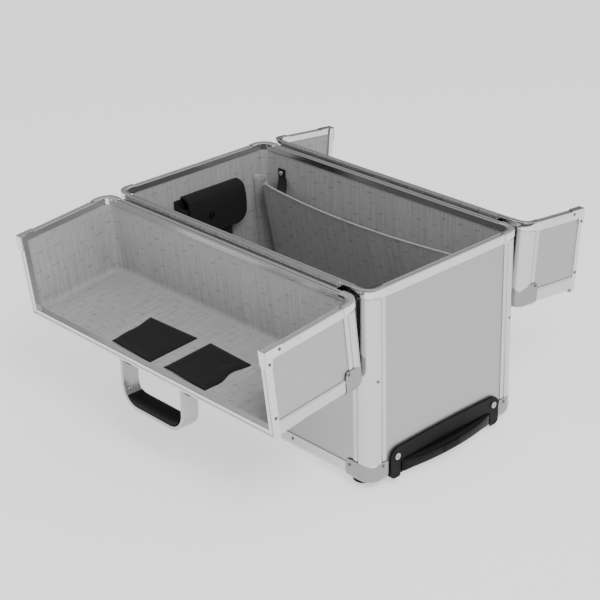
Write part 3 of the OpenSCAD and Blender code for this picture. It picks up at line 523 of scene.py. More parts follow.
def opened_round(shape, boxes, gap):
    """A sheet with a clean opening cut round each box."""
    bm = bmesh.new()
    points = [bm.verts.new(p) for p in shape[0]]
    for face in shape[1]:
        bm.faces.new([points[i] for i in face])
    for lo, hi in boxes:
        for axis in range(3):
            normal = Vector([float(i == axis) for i in range(3)])
            for at in (lo[axis] - gap, hi[axis] + gap):
                whole = bm.verts[:] + bm.edges[:] + bm.faces[:]
                bmesh.ops.bisect_plane(bm, geom=whole, dist=0.0001, plane_co=normal * at, plane_no=normal)
        inside = []
        for face in bm.faces:
            middle = face.calc_center_median()
            if all(lo[i] - gap < middle[i] < hi[i] + gap for i in range(3)):
                inside.append(face)
        bmesh.ops.delete(bm, geom=inside, context="FACES")
    bm.verts.index_update()
    result = [tuple(v.co) for v in bm.verts], [tuple(v.index for v in face.verts) for face in bm.faces]
    bm.free()
    return result


def carve(obj, shape):
    """Cuts a shape out of an object for good."""
    mesh = bpy.data.meshes.new("cutter")
    mesh.from_pydata([Vector(p) * MM for p in shape[0]], [], shape[1])
    cutter = bpy.data.objects.new("cutter", mesh)
    bpy.context.scene.collection.objects.link(cutter)
    cut = obj.modifiers.new("cut", "BOOLEAN")
    cut.object = cutter
    cut.solver = "EXACT"
    bpy.context.view_layer.update()
    done = bpy.data.meshes.new_from_object(obj.evaluated_get(bpy.context.evaluated_depsgraph_get()))
    obj.modifiers.remove(cut)
    obj.data = done
    bpy.data.objects.remove(cutter)


def soften(obj, width):
    """Rounds an object's hard edges a little, so that they catch the light."""
    edge = obj.modifiers.new("edges", "BEVEL")
    edge.width = width * MM
    edge.segments = 2
    edge.limit_method = "ANGLE"
    edge.angle_limit = math.radians(38)
    edge.harden_normals = True


# The case's dimensions in millimetres.
HL, HW, CR = HALF_L / MM, HALF_W / MM, CORNER_R / MM
BASE, RIM = BASE_Z / MM, RIM_Z / MM
LID_Z = shut_box("front_lid_rim", "front")[0].z / MM
TOP = shut_box("front_lid_rim", "front")[1].z / MM
SEAM = {side: shut_box(side + "_lid_rim", side)[1].y / MM for side in LID}
LINED_HL = LINING_HI.x / MM
LINED_IN = HL - LINED_HL
LINING_T = 1.5
SKIN = shut_box("front_lid_lining", "front")[1].z / MM


# ---- aluminium profiles ----

CLIP_T = box_mm("body_rim_clips")[1].z - RIM
CLIP_RUN = 9.0
RIM_SECTION = [(-1, -12), (0.2, -12), (0.3, -8.8), (0.9, -8.3), (0.9, -1.0), (0.7, -0.4), (0.1, 0),
               (-2.5, 0), (-2.9, -0.3), (-3.0, -1.2), (-4.6, -1.2), (-4.7, -0.3), (-5.1, 0),
               (-7.3, 0), (-7.9, -0.5), (-8, -8), (-1, -8)]
POST_BULGE = 0.9
POST_FLANGE = 9.0
POST_GROOVE = 0.7


def post_shape(sx, sy, z0, z1):
    """Corner extrusion: a raised round middle, a groove on each side and a flat flange."""
    flange = [(POST_FLANGE, 0.0), (3.2, 0.0), (2.9, -POST_GROOVE), (1.9, -POST_GROOVE), (1.5, 0.3),
              (0.6, 0.8)]
    outer = []
    for run, rise in flange:
        outer.append((HL + rise, HW - CR - run))
    for x, y, nx, ny in corner_arc(1, 1, HL, HW, CR, 14):
        outer.append((x + nx * POST_BULGE, y + ny * POST_BULGE))
    for run, rise in reversed(flange):
        outer.append((HL - CR - run, HW + rise))
    inner = [(x - 4 * nx, y - 4 * ny) for x, y, nx, ny in corner_arc(1, 1, HL, HW, CR, 6)]
    ends = [(HL - 0.9, HW - CR - POST_FLANGE), (HL - 0.9, HW - CR)]
    far_ends = [(HL - CR, HW - 0.9), (HL - CR - POST_FLANGE, HW - 0.9)]
    outline = ends + inner + far_ends + outer[::-1]
    return prism([(sx * x, sy * y) for x, y in outline], lambda u, v, t: (u, v, t), z0, z1)


def ball_shape(sx, sy, arc_h, ear_h, end_run, long_run):
    """Pressed corner: two ears, a lower curved middle and a rounded bottom edge, from BASE up."""
    ear_r, edge_r, out = 6.0, 9.0, 1.2
    path = filled(corner_path(sx, sy, end_run, long_run, 12), 1.6, False)
    length = [0.0]
    for a, b in zip(path, path[1:]):
        length.append(length[-1] + math.hypot(b[0] - a[0], b[1] - a[1]))
    total = length[-1]
    runs = (end_run, long_run) if sx * sy > 0 else (long_run, end_run)
    rows = []
    for station, s in zip(path, length):
        end_gap = min(s, total - s)
        ear = ear_h - ear_r + math.sqrt(max(0.0, ear_r ** 2 - max(0.0, ear_r - end_gap) ** 2))
        # The top dips between the ears in a smooth curve.
        across = (s - runs[0]) / (total - runs[0] - runs[1])
        dip = 0.5 - 0.5 * math.cos(2 * math.pi * min(1, max(0, across * 1.3 - 0.15)))
        top = ear + (arc_h - ear_h) * dip ** 0.6
        big = edge_r + out
        section = [(-0.2, top), (out - 0.5, top), (out, top - 0.6)]
        section += [(out, top + (edge_r - top) * t) for t in (0.3, 0.6)]
        for a in spread(0, 90, 8):
            c, q = cos_sin(a)
            section.append((out - big + big * c, edge_r - big * q))
        section += [(out - big - 3, -out), (out - big - 3, -0.1)]
        x, y, nx, ny = station
        rows.append([(x + nx * d, y + ny * d, BASE + h) for d, h in section])
    return loft(rows)


def upside(shape):
    """A shape of the body's bottom edge turned over, to serve a shut lid's top edge."""
    return [(x, y, TOP + BASE - z) for x, y, z in shape[0]], shape[1]


def add_body_profiles():
    posts = [post_shape(sx, sy, BASE + 19, RIM - 11) for sx in (-1, 1) for sy in (-1, 1)]
    piece("post_extrusions", joined(posts), "profile", "case_body", ["corner_posts"])
    rim = sweep(ring_path(HL, HW, CR), [(d, RIM + h) for d, h in RIM_SECTION], wrap=True)
    piece("rim_extrusion", rim, "rim", "case_body", ["body_rim"], crease=25)
    balls = [ball_shape(sx, sy, 24.5, 27, 13, 22) for sx in (-1, 1) for sy in (-1, 1)]
    piece("base_corner_caps", joined(balls), "chrome_soft", "case_body",
          ["base_ball_corners"], thick=1.0)
    clips = [clip_shape(sx, sy, RIM, 1) for sx in (-1, 1) for sy in (-1, 1)]
    piece("rim_corner_clips", joined(clips), "chrome", "case_body", ["body_rim_clips"])


def clip_shape(sx, sy, z, up):
    """Pressed clip wrapped over a rim's corner; up is 1 on the body and -1 on a shut lid."""
    outer = [(-8.4, -2.5), (-8.4, 0.4), (-7.8, CLIP_T), (0.9, CLIP_T), (1.5, 0.6), (1.8, 0.0), (1.8, -8.6),
             (1.0, -9.2)]
    inner = [(0.95, -8.6), (0.95, 0.1), (-7.9, 0.1), (-8.0, -2.5)]
    section = [(d, z + up * h) for d, h in outer + inner]
    return sweep(corner_path(sx, sy, CLIP_RUN, CLIP_RUN), section)


def seam_frame(side):
    """The frame round the seam of a shut lid, mitred at its two top corners."""
    y1 = SEAM[side]
    section = [(0, -8), (0, -0.6), (-0.6, 0), (-2.6, 0), (-3, -1.1), (-4.8, -1.1), (-5.2, 0),
               (-9.4, 0), (-10, -0.6), (-10, -8)]
    path = [(-HL, LID_Z, -1, 0), (-HL, TOP, -1, 1), (HL, TOP, 1, 1), (HL, LID_Z, 1, 0)]
    rows = [[(x + nx * d, y1 + h, z + nz * d) for d, h in section] for x, z, nx, nz in path]
    return solid(rows)


def edging_section():
    """Edge extrusion with a round outer edge, a lip down the wall with a raised bead, and one inwards."""
    edge_r = 9.0
    arc = [(edge_r * (c - 1), edge_r * (1 - q)) for c, q in map(cos_sin, spread(0, 90, 10))]
    return [(-1, 22), (0, 22), (0, 20.5), (0.6, 20.1), (0.6, 18.4), (0, 18)] + arc + \
        [(-13.5, 0), (-14, 0.5), (-17, 0.5), (-17, 1), (-9, 1), (-9, 5), (-5, 5), (-5, 9), (-1, 9)]


def angle_clips(side):
    """Pressed angle clips over both rim corners at a lid's seam."""
    y1, low = SEAM[side], LID_Z - CLIP_T
    shapes = []
    for s in (-1, 1):
        ell = [(y1 - 24, low), (y1 + 0.9, low), (y1 + 0.9, LID_Z + 21), (y1 - 8, LID_Z + 21),
               (y1 - 9.5, LID_Z + 8.8), (y1 - 24, LID_Z + 8.8)]
        over_rim = rectangle(HL - 8.2, HL + 0.9, y1 - 22, y1 + 0.9)
        over_seam = rectangle(HL - 10, HL + 0.9, low, LID_Z + 20)
        shapes += [
            prism(rounded_outline(ell, (2, 0.8, 2, 3, 3, 2)), lambda u, v, t: (s * (HL + t), u, v), 0.2, 1.0),
            prism(rounded_outline(over_rim, (2, 0, 0, 0)), lambda u, v, t: (s * u, v, LID_Z - t),
                  0.05, CLIP_T),
            prism(rounded_outline(over_seam, (0, 0, 0, 2)), lambda u, v, t: (s * u, y1 + t, v), 0.05, 0.9),
        ]
    return joined(shapes)


def add_lid_profiles(side):
    body = side + "_lid"
    posts = [post_shape(s, -1, LID_Z + 11, TOP - 21) for s in (-1, 1)]
    piece(body + "_post_extrusions", joined(posts), "profile", body, [body + "_posts"], side)
    run = lid_path(SEAM[side] - 8, HL, HW, CR)
    edging = [(d, TOP - h) for d, h in edging_section()]
    piece(body + "_edge_extrusion", sweep(run, edging), "profile", body, [body + "_edging"], side,
          crease=25)
    rim = [(d, LID_Z - h) for d, h in RIM_SECTION]
    shape = joined([sweep(run, rim), seam_frame(side)])
    piece(body + "_rim_extrusion", shape, "rim", body, [body + "_rim"], side, crease=25)
    balls = [upside(ball_shape(s, -1, 23, 31, 16, 16)) for s in (-1, 1)]
    piece(body + "_corner_caps", joined(balls), "chrome_soft", body,
          [body + "_corners"], side, thick=1.0)
    clips = [clip_shape(s, -1, LID_Z, -1) for s in (-1, 1)]
    piece(body + "_corner_clips", joined(clips + [angle_clips(side)]), "chrome", body,
          [body + "_corners"], side)


# ---- rivets ----

RIVET_PROFILE = [(0.75, 0.5), (0.85, 0.95), (1.5, 0.85), (2.05, 0.5), (2.25, 0.0), (2.25, -1.4)]


def rivet_shape(at, axis, out):
    """Domed blind rivet with a pin hole, on a face whose outward axis is out * axis."""
    rows = []
    steps = 20
    u, v = [i for i in range(3) if i != axis]
    for k in range(steps):
        c, q = cos_sin(360 * k / steps)
        row = []
        for r, h in RIVET_PROFILE:
            p = list(at)
            p[u] += r * c
            p[v] += r * q
            p[axis] += out * h
            row.append(tuple(p))
        rows.append(row)
    points, faces = loft(rows, wrap_rows=True)
    faces.append(tuple(k * len(RIVET_PROFILE) for k in range(steps)))
    return points, faces


def add_rivets(node, body, side=None):
    """Domed heads in the places of the CAD node's plain discs."""
    shapes = []
    for lo, hi in solid_boxes(node, side):
        size = hi - lo
        axis = min(range(3), key=lambda i: size[i])
        middle = (lo + hi) / 2
        out = 1 if middle[axis] > 0 else -1
        middle[axis] = lo[axis] if out > 0 else hi[axis]
        shapes.append(rivet_shape(middle, axis, out))
    piece(node + "_heads", joined(shapes), "rivet", body, [node], side, crease=50)


# ---- linings ----

FLOOR_FILLET = 7.0
SOFT_CORNER = 15.0
LINING_CLEAR = 0.15


def soft_wall(x, y, nx, ny, z):
    """How far the cloth stands off a wall: slow waves, and upright puckers where it rounds a corner."""
    in_corner = 4 * abs(nx * ny) ** 1.5
    wave = 0.35 * ripple(x / 60, y / 60, z / 50) + 0.35
    pucker = 0.9 * in_corner * ripple(math.atan2(ny, nx) * 9, z / 90, 4.0) + 0.5 * in_corner
    return max(0.0, wave + pucker)


def lining_rows(path, z_open, z_floor, up):
    """Rows of a wall lining from its open edge down to the floor; up is 1 in the body, -1 in a shut lid."""
    levels = [(0.0, h) for h in spread(0, abs(z_open - z_floor) - FLOOR_FILLET, 18)]
    depth = abs(z_open - z_floor) - FLOOR_FILLET
    for a in spread(15, 90, 6):
        c, q = cos_sin(a)
        levels.append((FLOOR_FILLET * (1 - c), depth + FLOOR_FILLET * q))
    rows = []
    for inset, down in levels:
        z = z_open - up * down
        row = []
        for x, y, nx, ny in path:
            calm = min(1.0, down / 8) * min(1.0, max(0.0, (depth + 4 - down) / 12))
            off = inset + LINING_CLEAR + calm * soft_wall(x, y, nx, ny, z)
            row.append((x - nx * off, y - ny * off, z))
        rows.append(row)
    return rows


def declare_lining(node, side):
    """Reads the box of a lining's CAD node, with its lid shut if side names one; nothing is made from it.
    """
    lo, hi = shut_box(node, side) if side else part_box(node)


def add_body_lining():
    z_open, z_floor = RIM - 8.2, LINING_LO.z / MM + LINING_T
    path = ring_path(LINED_HL - LINING_T, HW - LINED_IN - LINING_T, SOFT_CORNER, 9)
    rows = lining_rows(path, z_open, z_floor, 1)
    last = rows[-1]
    spine = HL - HW
    for t in spread(0.1, 1.0, 10):
        row = []
        for x, y, z in last:
            sag = 0.5 * ripple(x / 50, y / 50, 2.0)
            row.append((x + (max(-spine, min(spine, x)) - x) * t, y * (1 - t), z + 0.3 + 0.3 * sag))
        rows.append(row)
    shape = opened_round(loft(rows, wrap_cols=True), solid_boxes("wheel_housings"), 0.6)
    obj = piece("body_lining_cloth", shape, "lining", "case_body", ["body_lining"], crease=80)
    declare_lining("body_lining", None)


def add_lid_lining(side):
    body = side + "_lid"
    z_open, z_floor = LID_Z + 8.2, SKIN - LINING_T
    seam = SEAM[side] - 8
    path = lid_path(seam, LINED_HL - LINING_T, HW - LINED_IN - LINING_T, SOFT_CORNER, 9)
    rows = lining_rows(path, z_open, z_floor, -1)
    last = rows[-1]
    count = len(last)
    reach = LINED_HL - LINING_T - FLOOR_FILLET
    for t in spread(0.1, 1.0, 10):
        row = []
        for i, (x, y, z) in enumerate(last):
            goal = -reach + 2 * reach * i / (count - 1)
            sag = 0.4 * ripple(x / 50, y / 50, 7.0)
            row.append((x + (goal - x) * t, y + (seam - y) * t, z - 0.3 - 0.3 * abs(sag)))
        rows.append(row)
    material = "lining_front" if side == "front" else "lining_back"
    obj = piece(body + "_lining_cloth", loft(rows), material, body, [body + "_lining"], side,
                crease=80)
    declare_lining(body + "_lining", side)


# ---- accessory pockets in the front lid ----

def add_pocket(node, seed, corners, side_at, side_in):
    """Thin black cloth pocket sewn down on three sides, with a slack, wavy mouth towards the seam.

    corners are the shifts of its left foot, right foot, left mouth and right mouth from a true square.
    side_at is the side (0 or 1) whose edge has pulled in, by side_in, in an S-shaped wave.
    """
    lo, hi = (v / MM for v in shut_box(node, "front"))
    floor = SKIN - LINING_T - 0.6
    rows = []
    for v in spread(0, 1, 25):
        row = []
        for u in spread(0, 1, 25):
            edge = min(u, 1 - u, v)
            crown = 1 - max(0.0, 1 - edge / 0.09) ** 2
            mouth = max(0.0, (v - 0.8) / 0.2) ** 2
            slack = 1.1 * math.sin(math.pi * u) * mouth
            rise = crown * (1.2 + 0.5 * ripple(u * 3, v * 3, seed)) + 1.8 * slack
            hem = 0.5 if v > 0.93 else 0.0
            wander = 1.2 * ripple(u * 2.2, v * 2.2, seed + 9)
            foot = Vector(corners[0]).lerp(Vector(corners[1]), u)
            shift = foot.lerp(Vector(corners[2]).lerp(Vector(corners[3]), u), v)
            pulled = side_in * math.sin(math.pi * v) ** 2 * (0.35 + math.sin(2 * math.pi * v) * 0.65)
            near = max(0.0, 1 - abs(u - side_at) / 0.35)
            x = lo.x + (hi.x - lo.x) * u + wander * (1 - 2 * abs(u - 0.5)) + shift.x + pulled * near
            rise += 0.5 * abs(pulled) * near * math.sin(math.pi * min(1.0, near))
            y = lo.y + (hi.y - lo.y) * v + wander * mouth + shift.y
            row.append((x, y, floor - rise - hem))
        rows.append(row)
    obj = piece(node + "_cloth", loft(rows), "black_cloth", "front_lid", [node], "front",
                crease=80, thick=0.9)


# ---- divider, its gussets and its webbing stays ----

DIVIDER_BOW = 19.0
DIVIDER_BOW_AT = 190.0
DIVIDER_T = 3.0
DIV_LO, DIV_HI = box_mm("divider")
DIV_FRONT = DIV_HI.y - DIVIDER_T
DIV_FOOT_HALF = 176.0
STAY_W = 13.0
STAY_TOP_X, STAY_END_X, STAY_END_F = 185.0, 151.0, 0.95
TAB_RIVET_X, TAB_RIVET_DOWN, TAB_RIVET_SCALE = 187.0, 7.0, 1.7


def divider_half(f):
    return DIV_FOOT_HALF + (DIV_HI.x - DIV_FOOT_HALF) * f


def divider_front(x, f):
    """Front face of the divider: it leans forward and bows towards its top."""
    return DIV_FRONT - f * (DIV_FRONT - DIV_LO.y - DIVIDER_BOW * (x / DIVIDER_BOW_AT) ** 2)


def add_divider():
    height = DIV_HI.z - DIV_LO.z
    corner = 9.0
    rows = []
    for u in spread(-1, 1, 49):
        end_gap = (1 - abs(u)) * DIV_HI.x
        top = height - corner + math.sqrt(max(0.0, corner ** 2 - max(0.0, corner - end_gap) ** 2))
        thin = min(1.0, 0.35 + end_gap / 3)
        front, back = [], []
        for f in spread(0, 1, 25):
            f *= top / height
            x = u * divider_half(f)
            y = divider_front(x, f)
            slack = 0.6 * ripple(x / 45, f * 5, 1.0)
            below = top - f * height
            seam = -0.8 * math.exp(-((below - 7) / 1.3) ** 2)
            bead = 0.7 * math.exp(-((below - 3) / 2.5) ** 2)
            half_t = DIVIDER_T / 2 * thin
            front.append((x, y + DIVIDER_T / 2 - half_t - slack * 0.5 - seam - bead, DIV_LO.z + f * height))
            back.append((x, y + DIVIDER_T / 2 + half_t + seam + bead * 0.5, DIV_LO.z + f * height))
        crest = (front[-1][0], (front[-1][1] + back[-1][1]) / 2, front[-1][2] + 1.1)
        rows.append(front + [crest] + back[::-1])
    obj = piece("divider_board", solid(rows), "lining_divider", "divider",
                ["divider"], crease=60)


def add_gusset(s):
    """Folded cloth from the divider's edge to the end wall, with one deep crease."""
    wall_x = LINED_HL - LINING_T - 0.8
    rows = []
    for f in spread(0.0, 1.0, 21):
        x0 = divider_half(f) - 1
        y0 = divider_front(x0, f) + DIVIDER_T
        lift = 5 * f
        points = []
        for t in spread(0, 1, 15):
            x = x0 + (wall_x - x0) * t
            y = y0 + (12 + 4 * f) * math.sin(math.pi * t) ** 0.8 + 9 * t * f
            y = min(y, HW - LINED_IN - LINING_T - 2)
            y += 0.8 * ripple(t * 4, f * 3, 5.0 + s)
            z = DIV_LO.z + (DIV_HI.z - DIV_LO.z - 4) * f + lift * t
            points.append((s * x, y, z))
        rows.append(points)
    name = "divider_gusset_" + ("left" if s < 0 else "right")
    obj = piece(name, loft(rows), "lining_divider", None, ["divider_gussets"], crease=80, thick=0.7)
    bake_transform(obj)


def add_stay(s):
    """Webbing from a tab on the back wall down to the back of the divider's top edge."""
    wall_y = HW - LINED_IN - LINING_T - 1.2
    z_top = box_mm("divider_straps")[1].z
    start = Vector((s * STAY_TOP_X, wall_y, z_top - 12))
    end = Vector((s * STAY_END_X, divider_front(STAY_END_X, STAY_END_F) + DIVIDER_T + 1.8,
                  DIV_LO.z + STAY_END_F * (DIV_HI.z - DIV_LO.z)))
    run = end - start
    across = Vector((run.y, -run.x, 0)).normalized() * s
    across = across if across.x > 0 else -across
    rows = []
    for t in spread(0, 1, 17):
        # The webbing lies flat where it is sewn at both ends, and turns to face its run between them.
        turn = Vector((1, 0, 0)).lerp(across, math.sin(math.pi * t)).normalized()
        middle = start + run * t - Vector((0, 0, 3 * math.sin(math.pi * t)))
        rows.append([tuple(middle + turn * STAY_W / 2 * w) for w in spread(-1, 1, 7)])
    side = "left" if s < 0 else "right"
    obj = piece("divider_stay_" + side, loft(rows), "webbing", None, [], crease=80, thick=1.2)
    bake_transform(obj)
    tab = []
    for t in spread(0, 1, 9):
        tab.append([(s * 185.5 + 6.5 * w, wall_y - 0.4, z_top - 34 * t) for w in spread(-1, 1, 5)])
    tab = piece("divider_tab_" + side, loft(tab), "webbing", "case_body", ["divider_straps"],
                crease=80, thick=1.4)
    at = Vector((s * TAB_RIVET_X, wall_y - 1.8, z_top - TAB_RIVET_DOWN))
    points, faces = rivet_shape(at, 1, -1)
    grow = TAB_RIVET_SCALE
    points = [(at.x + (x - at.x) * grow, y, at.z + (z - at.z) * grow) for x, y, z in points]
    piece("divider_tab_rivet_" + side, (points, faces), "chrome", "case_body", crease=50)


# ---- tool pouch ----

POUCH_LO, POUCH_HI = box_mm("pouch_body")
FLAP_LO, FLAP_HI = box_mm("pouch_flap")
MOUTH_DROP = 12.0


def add_pouch():
    depth = POUCH_HI.x - POUCH_LO.x
    squareness = 0.38
    rows = []
    for t in spread(0, 1, 25):
        row = []
        for a in spread(0, 1, 41):
            # Round the pouch from the wall, along its front and back to the wall.
            turn = math.pi * a
            u = -math.copysign(abs(math.cos(turn)) ** squareness, math.cos(turn))
            w = abs(math.sin(turn)) ** squareness
            belly = 1 - 0.10 * (2 * t - 1) ** 2
            close = 1 - max(0.0, 1 - t / 0.08) ** 2 * 0.6
            out = depth * w * belly * close - 0.4 + 0.7 * ripple(a * 6, t * 4, 3.0) * w
            y = (POUCH_LO.y + POUCH_HI.y) / 2 + (POUCH_HI.y - POUCH_LO.y) / 2 * u * (0.97 + 0.03 * close)
            z = POUCH_LO.z + (POUCH_HI.z - MOUTH_DROP * w - 1 - POUCH_LO.z) * t
            row.append((POUCH_LO.x + 0.3 + max(0.0, out), y, z))
        rows.append(row)
    floor_row = [(POUCH_LO.x + 0.3, p[1], POUCH_LO.z + 0.5) for p in rows[0]]
    shape = loft([floor_row] + rows, wrap_cols=True)
    obj = piece("pouch_cloth", shape, "black_cloth", "case_body", ["pouch_body"], crease=80,
                thick=1.2)


def flap_line(t):
    """Side view of the flap from the wall (t 0) over the front to its lower edge (t 1)."""
    out = FLAP_HI.x - 1.6 - FLAP_LO.x
    roll = min(1.0, t / 0.5)
    x = FLAP_LO.x + out * math.sin(roll * math.pi / 2) ** 0.85
    drop = 0.30 * (1 - math.cos(roll * math.pi / 2)) + 0.70 * max(0.0, t - 0.27) / 0.73
    return x, FLAP_HI.z - 0.4 - (FLAP_HI.z - FLAP_LO.z) * drop


def add_flap():
    width = 100.0
    middle = (FLAP_LO.y + FLAP_HI.y) / 2
    corner = 17.0
    rows = []
    for t in spread(0, 1, 31):
        x, z = flap_line(t)
        below = z - FLAP_LO.z
        inset = corner - math.sqrt(max(0.0, corner ** 2 - max(0.0, corner - below) ** 2))
        row = []
        for u in spread(-1, 1, 33):
            half = width / 2 - inset
            edge = min((1 - abs(u)) * half, below)
            hem = 0.7 if edge < 4.5 else 0.0
            slack = 0.9 * ripple(u * 2.2, t * 3, 6.0) * t
            droop = 1.5 * (u * u) * t
            row.append((x + hem + slack - droop * 0.4, middle + half * u, z))
        rows.append(row)
    obj = piece("pouch_flap_cloth", loft(rows), "black_cloth", "pouch_flap", ["pouch_flap"],
                crease=80, thick=1.4)
    profile = [(1.4, 1.6), (2.2, 2.0), (3.2, 1.5), (3.6, 2.1), (4.6, 1.9), (5.0, 0.9), (5.0, -0.6)]
    at = Vector((FLAP_HI.x - 2.4, 6, BASE + 185))
    rows = []
    for c, q in map(cos_sin, spread(0, 360, 25)[:-1]):
        rows.append([(at.x + h, at.y + r * c, at.z + r * q) for r, h in profile])
    points, faces = loft(rows, wrap_rows=True)
    faces.append(tuple(len(profile) * k for k in range(len(rows))))
    piece("pouch_snap", (points, faces), "gloss", "pouch_flap", crease=40)


# ---- carry grip, telescopic grip and its plate ----

def add_carry_pad():
    lo, hi = box_mm("carry_grip")
    inner_r = 23.5
    straight = hi.x - inner_r
    half_w = (hi.y - lo.y) / 2
    middle = (hi.y + lo.y) / 2
    reach = straight + math.sqrt(inner_r ** 2 - (inner_r - (hi.z - lo.z)) ** 2) - 0.6
    rows = []
    half_outline = [(-1, 0), (-1.02, 0.35), (-0.98, 0.6), (-0.86, 0.82), (-0.62, 0.96), (-0.3, 1.03)]
    outline = half_outline + [(0, 1.05)] + [(-u, v) for u, v in reversed(half_outline)]
    for x in spread(-reach, reach, 41):
        over = max(0.0, abs(x) - straight)
        low = lo.z + inner_r - math.sqrt(inner_r ** 2 - over ** 2)
        end = max(0.0, 1 - (reach - abs(x)) / 4)
        high = hi.z - 1.5 * end ** 2
        rows.append([(x, middle + u * half_w, low + max(0.05, high - low) * v) for u, v in outline])
    piece("carry_grip_pad", solid(rows), "rubber", "carry_handle",
          ["carry_grip"], crease=40)
    pins = [rivet_shape((s * (hi.x + 0.05), middle - half_w * 0.45, hi.z + 5), 0, -s) for s in (-1, 1)]
    piece("carry_grip_pins", joined(pins), "chrome", "carry_handle", crease=50)


GRIP_LO, GRIP_HI = box_mm("telescopic_grip")
GRIP_END = 3.0


def grip_face(y):
    """How far the grip reaches in X at y."""
    half = (GRIP_HI.y - GRIP_LO.y) / 2
    rise = GRIP_HI.x - GRIP_LO.x - GRIP_END
    arc = (half ** 2 + rise ** 2) / (2 * rise)
    return GRIP_HI.x - arc + math.sqrt(arc ** 2 - y ** 2)


def grip_row(y, squeeze):
    """Section of the grip at y: flat at the back, well rounded at the front."""
    z0, z1 = GRIP_LO.z + squeeze, GRIP_HI.z - squeeze
    face = grip_face(y) - squeeze * 0.6
    deep = face - GRIP_LO.x
    low_r, top_r = min(5.0, deep * 0.8), min(6.5, deep * 0.8)
    row = [(GRIP_LO.x, y, z0)]
    for a in spread(0, 90, 7):
        c, q = cos_sin(a)
        row.append((face - low_r * (1 - q), y, z0 + low_r * (1 - c)))
    for a in spread(0, 90, 7):
        c, q = cos_sin(a)
        row.append((face - top_r * (1 - c), y, z1 - top_r * (1 - q)))
    row.append((GRIP_LO.x, y, z1))
    return row


def add_telescopic_grip():
    half = GRIP_HI.y
    rows = []
    for y in spread(-half, half, 61):
        end = max(0.0, 1 - (half - abs(y)) / 6)
        rows.append(grip_row(y, 2.6 * (1 - math.sqrt(1 - min(1, end) ** 2 * 0.98))))
    grip = piece("telescopic_grip_shell", solid(rows), "gloss", "handle_upper",
                 ["telescopic_grip"], crease=50)
    lo, hi = box_mm("grip_button")
    outline = rounded_outline(rectangle(lo.y - 0.4, hi.y + 0.4, lo.z - 0.4, hi.z + 0.4), 1.5)
    carve(grip, prism(outline, lambda u, v, t: (t, u, v), lo.x - 3.2, hi.x + 5))
    ribs = 4
    rows = []
    for y in spread(lo.y, hi.y, 13):
        tuck = 0.8 if y in (lo.y, hi.y) else 0.0
        row = [(lo.x, y, lo.z), (hi.x - 1.2 - tuck, y, lo.z)]
        for z in spread(lo.z + 0.4, hi.z - 0.4, 25):
            t = (z - lo.z) / (hi.z - lo.z)
            wave = 0.45 * abs(math.sin(math.pi * ribs * t))
            row.append((hi.x - 0.6 - tuck + wave - 0.5 * abs(2 * t - 1) ** 3, y, z))
        row += [(hi.x - 1.2 - tuck, y, hi.z), (lo.x, y, hi.z)]
        rows.append(row)
    piece("grip_push_button", solid(rows), "plastic", "grip_button",
          ["grip_button"], crease=40)


def add_base_plate():
    lo, hi = box_mm("handle_base_plate")
    half, corner, foot = hi.y, 12.0, 14.0
    recess_half, recess_top, floor = 81.0, BASE + 19.2, 1.5
    crown = 2.0

    def top(y):
        return hi.z - 1 + crown * (1 - (y / half) ** 2)

    arch = [(y, top(y)) for y in spread(half - corner, -half + corner, 15)]
    shoulder = hi.z - 1 - corner
    left = [(-half + corner * (1 - q), shoulder + corner * c) for c, q in map(cos_sin, spread(15, 90, 6))]
    right = [(-y, z) for y, z in reversed(left)]
    toe = [(-half + y, lo.z + z) for y, z in ((0, 7), (1, 3.2), (3.2, 1), (7, 0))]
    far_toe = [(-y, z) for y, z in reversed(toe)]
    outer = right + arch + left + toe
    openings = []
    for a, b in sorted(solid_boxes("handle_outer_tubes"), key=lambda box: box[0].y):
        openings += [(a.y - 0.4, BASE), (a.y - 0.4, b.z + 0.4), (b.y + 0.4, b.z + 0.4), (b.y + 0.4, BASE)]
    foot_y = half - foot
    feet = [(-foot_y, lo.z), (-foot_y, BASE)] + openings + [(foot_y, BASE), (foot_y, lo.z)]
    back = outer + feet + far_toe
    recess = rounded_outline([(-recess_half, BASE - 1), (-recess_half, recess_top), (recess_half, recess_top),
                              (recess_half, BASE - 1)], (0, 4, 4, 0))
    front = outer + [(-recess_half - 2, lo.z)] + recess + [(recess_half + 2, lo.z)] + far_toe
    layers = ((back, 0.02, floor), (front, floor, hi.x - HL))
    shapes = [prism(outline, lambda u, v, t: (HL + t, u, v), t0, t1) for outline, t0, t1 in layers]
    for s in (-1, 1):
        outline = rounded_outline(rectangle(lo.x, hi.x - 0.2, lo.z + 1, BASE - 0.1), (1.2, 1.2, 0, 0))
        shapes.append(prism(outline, lambda u, v, t: (u, s * t, v), half - foot, half - 3.2))
    piece("handle_end_plate", joined(shapes), "plastic", "case_body", ["handle_base_plate"],
          crease=40, bevel=0.6)


BEVELLED = {
    "carry_handle": 0.7, "feet": 1.0, "end_feet": 1.0, "wheel_housings": 0.8, "front_wheel": 0.5,
    "back_wheel": 0.5, "latch_bases": 0.3, "latch_keepers": 0.3, "latch_lever_left": 0.5,
    "latch_lever_right": 0.5, "handle_brackets": 0.4, "base_plate_screws": 0.2, "handle_inner_tubes": 0.2,
}


def soften_cad():
    for name, width in BEVELLED.items():
        soften(NODES[name], width)


add_body_profiles()
add_body_lining()
add_rivets("body_rivets", "case_body")
for side in LID:
    add_lid_profiles(side)
    add_lid_lining(side)
    add_rivets(side + "_lid_rivets", side + "_lid", side)
add_pocket("front_pocket_left", 1.0, ((-4, 1), (4, -2), (2, -3), (0, 2)), 0, 3.0)
add_pocket("front_pocket_right", 2.0, ((2, -4), (0, -1), (-1, -3), (-2, 1)), 1, -8.0)
add_divider()
for s in (-1, 1):
    add_gusset(s)
    add_stay(s)
add_pouch()
add_flap()
add_carry_pad()
add_telescopic_grip()
add_base_plate()
soften_cad()

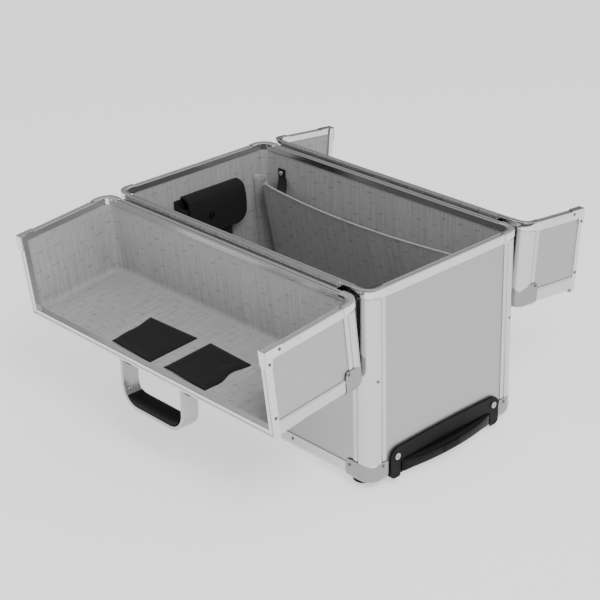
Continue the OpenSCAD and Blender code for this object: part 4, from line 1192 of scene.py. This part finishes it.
# ---- studio ----

CAMERA_AT = Vector((1.3618, -1.2782, 1.0227))
CAMERA_LOOK = Vector((-0.66730, 0.61029, -0.42692))
CAMERA_RIGHT = Vector((0.68373, 0.72926, -0.02621))
LENS = 96.22
SHIFT = (0.0104, -0.0056)


def add_camera():
    data = bpy.data.cameras.new("camera")
    camera = bpy.data.objects.new("camera", data)
    bpy.context.scene.collection.objects.link(camera)
    look = CAMERA_LOOK.normalized()
    right = (CAMERA_RIGHT - look * CAMERA_RIGHT.dot(look)).normalized()
    up = right.cross(look)
    axes = Matrix((right, up, -look)).transposed().to_4x4()
    camera.matrix_world = Matrix.Translation(CAMERA_AT) @ axes
    data.sensor_width = 36
    data.lens = LENS
    data.shift_x, data.shift_y = SHIFT
    data.clip_end = 50
    bpy.context.scene.camera = camera


def area_light(name, place, aim, size, power):
    data = bpy.data.lights.new(name, "AREA")
    data.shape = "RECTANGLE"
    data.size, data.size_y = size
    data.energy = power
    light = bpy.data.objects.new(name, data)
    bpy.context.scene.collection.objects.link(light)
    light.location = place
    light.rotation_euler = (Vector(aim) - Vector(place)).to_track_quat("-Z", "Y").to_euler()
    return light


def add_studio():
    """Pale floor under a soft ceiling: brighter towards the handle end, dark to the front, bright between."""
    bpy.ops.mesh.primitive_plane_add(size=30)
    floor = bpy.context.object
    floor.name = "studio_floor"
    n = Nodes("floor_paper")
    n.set(Base_Color=n.mix(n.noise(n.coords(), 3.0), grey(0.86), grey(0.9)), Roughness=0.7)
    n.set(Emission_Color=grey(1.0), Emission_Strength=0.85)
    floor.data.materials.append(n.material)
    n = Nodes("studio", world=True)
    x, y, z = n.parts(n.coords("Generated"))
    ceiling = n.ramp(z, 0.05, 0.60, 0.10, 0.95)
    to_handle = n.ramp(x, -1.0, 1.0, 0.5, 1.3)
    from_front = n.ramp(y, -1.0, 0.3, 0.30, 1.0)
    band = n.ramp(n.minus(x, y), 1.1, 1.35, 1.0, 1.5)
    n.set(Color=grey(1.0), Strength=n.times(ceiling, to_handle, from_front, band))
    bpy.context.scene.world = n.material
    area_light("key", (1.9, -0.9, 2.4), (0, 0, 0.15), (1.2, 1.2), 46)
    area_light("fill", (-0.8, -1.9, 1.7), (0, 0, 0.2), (1.2, 1.2), 5)


add_camera()
add_studio()
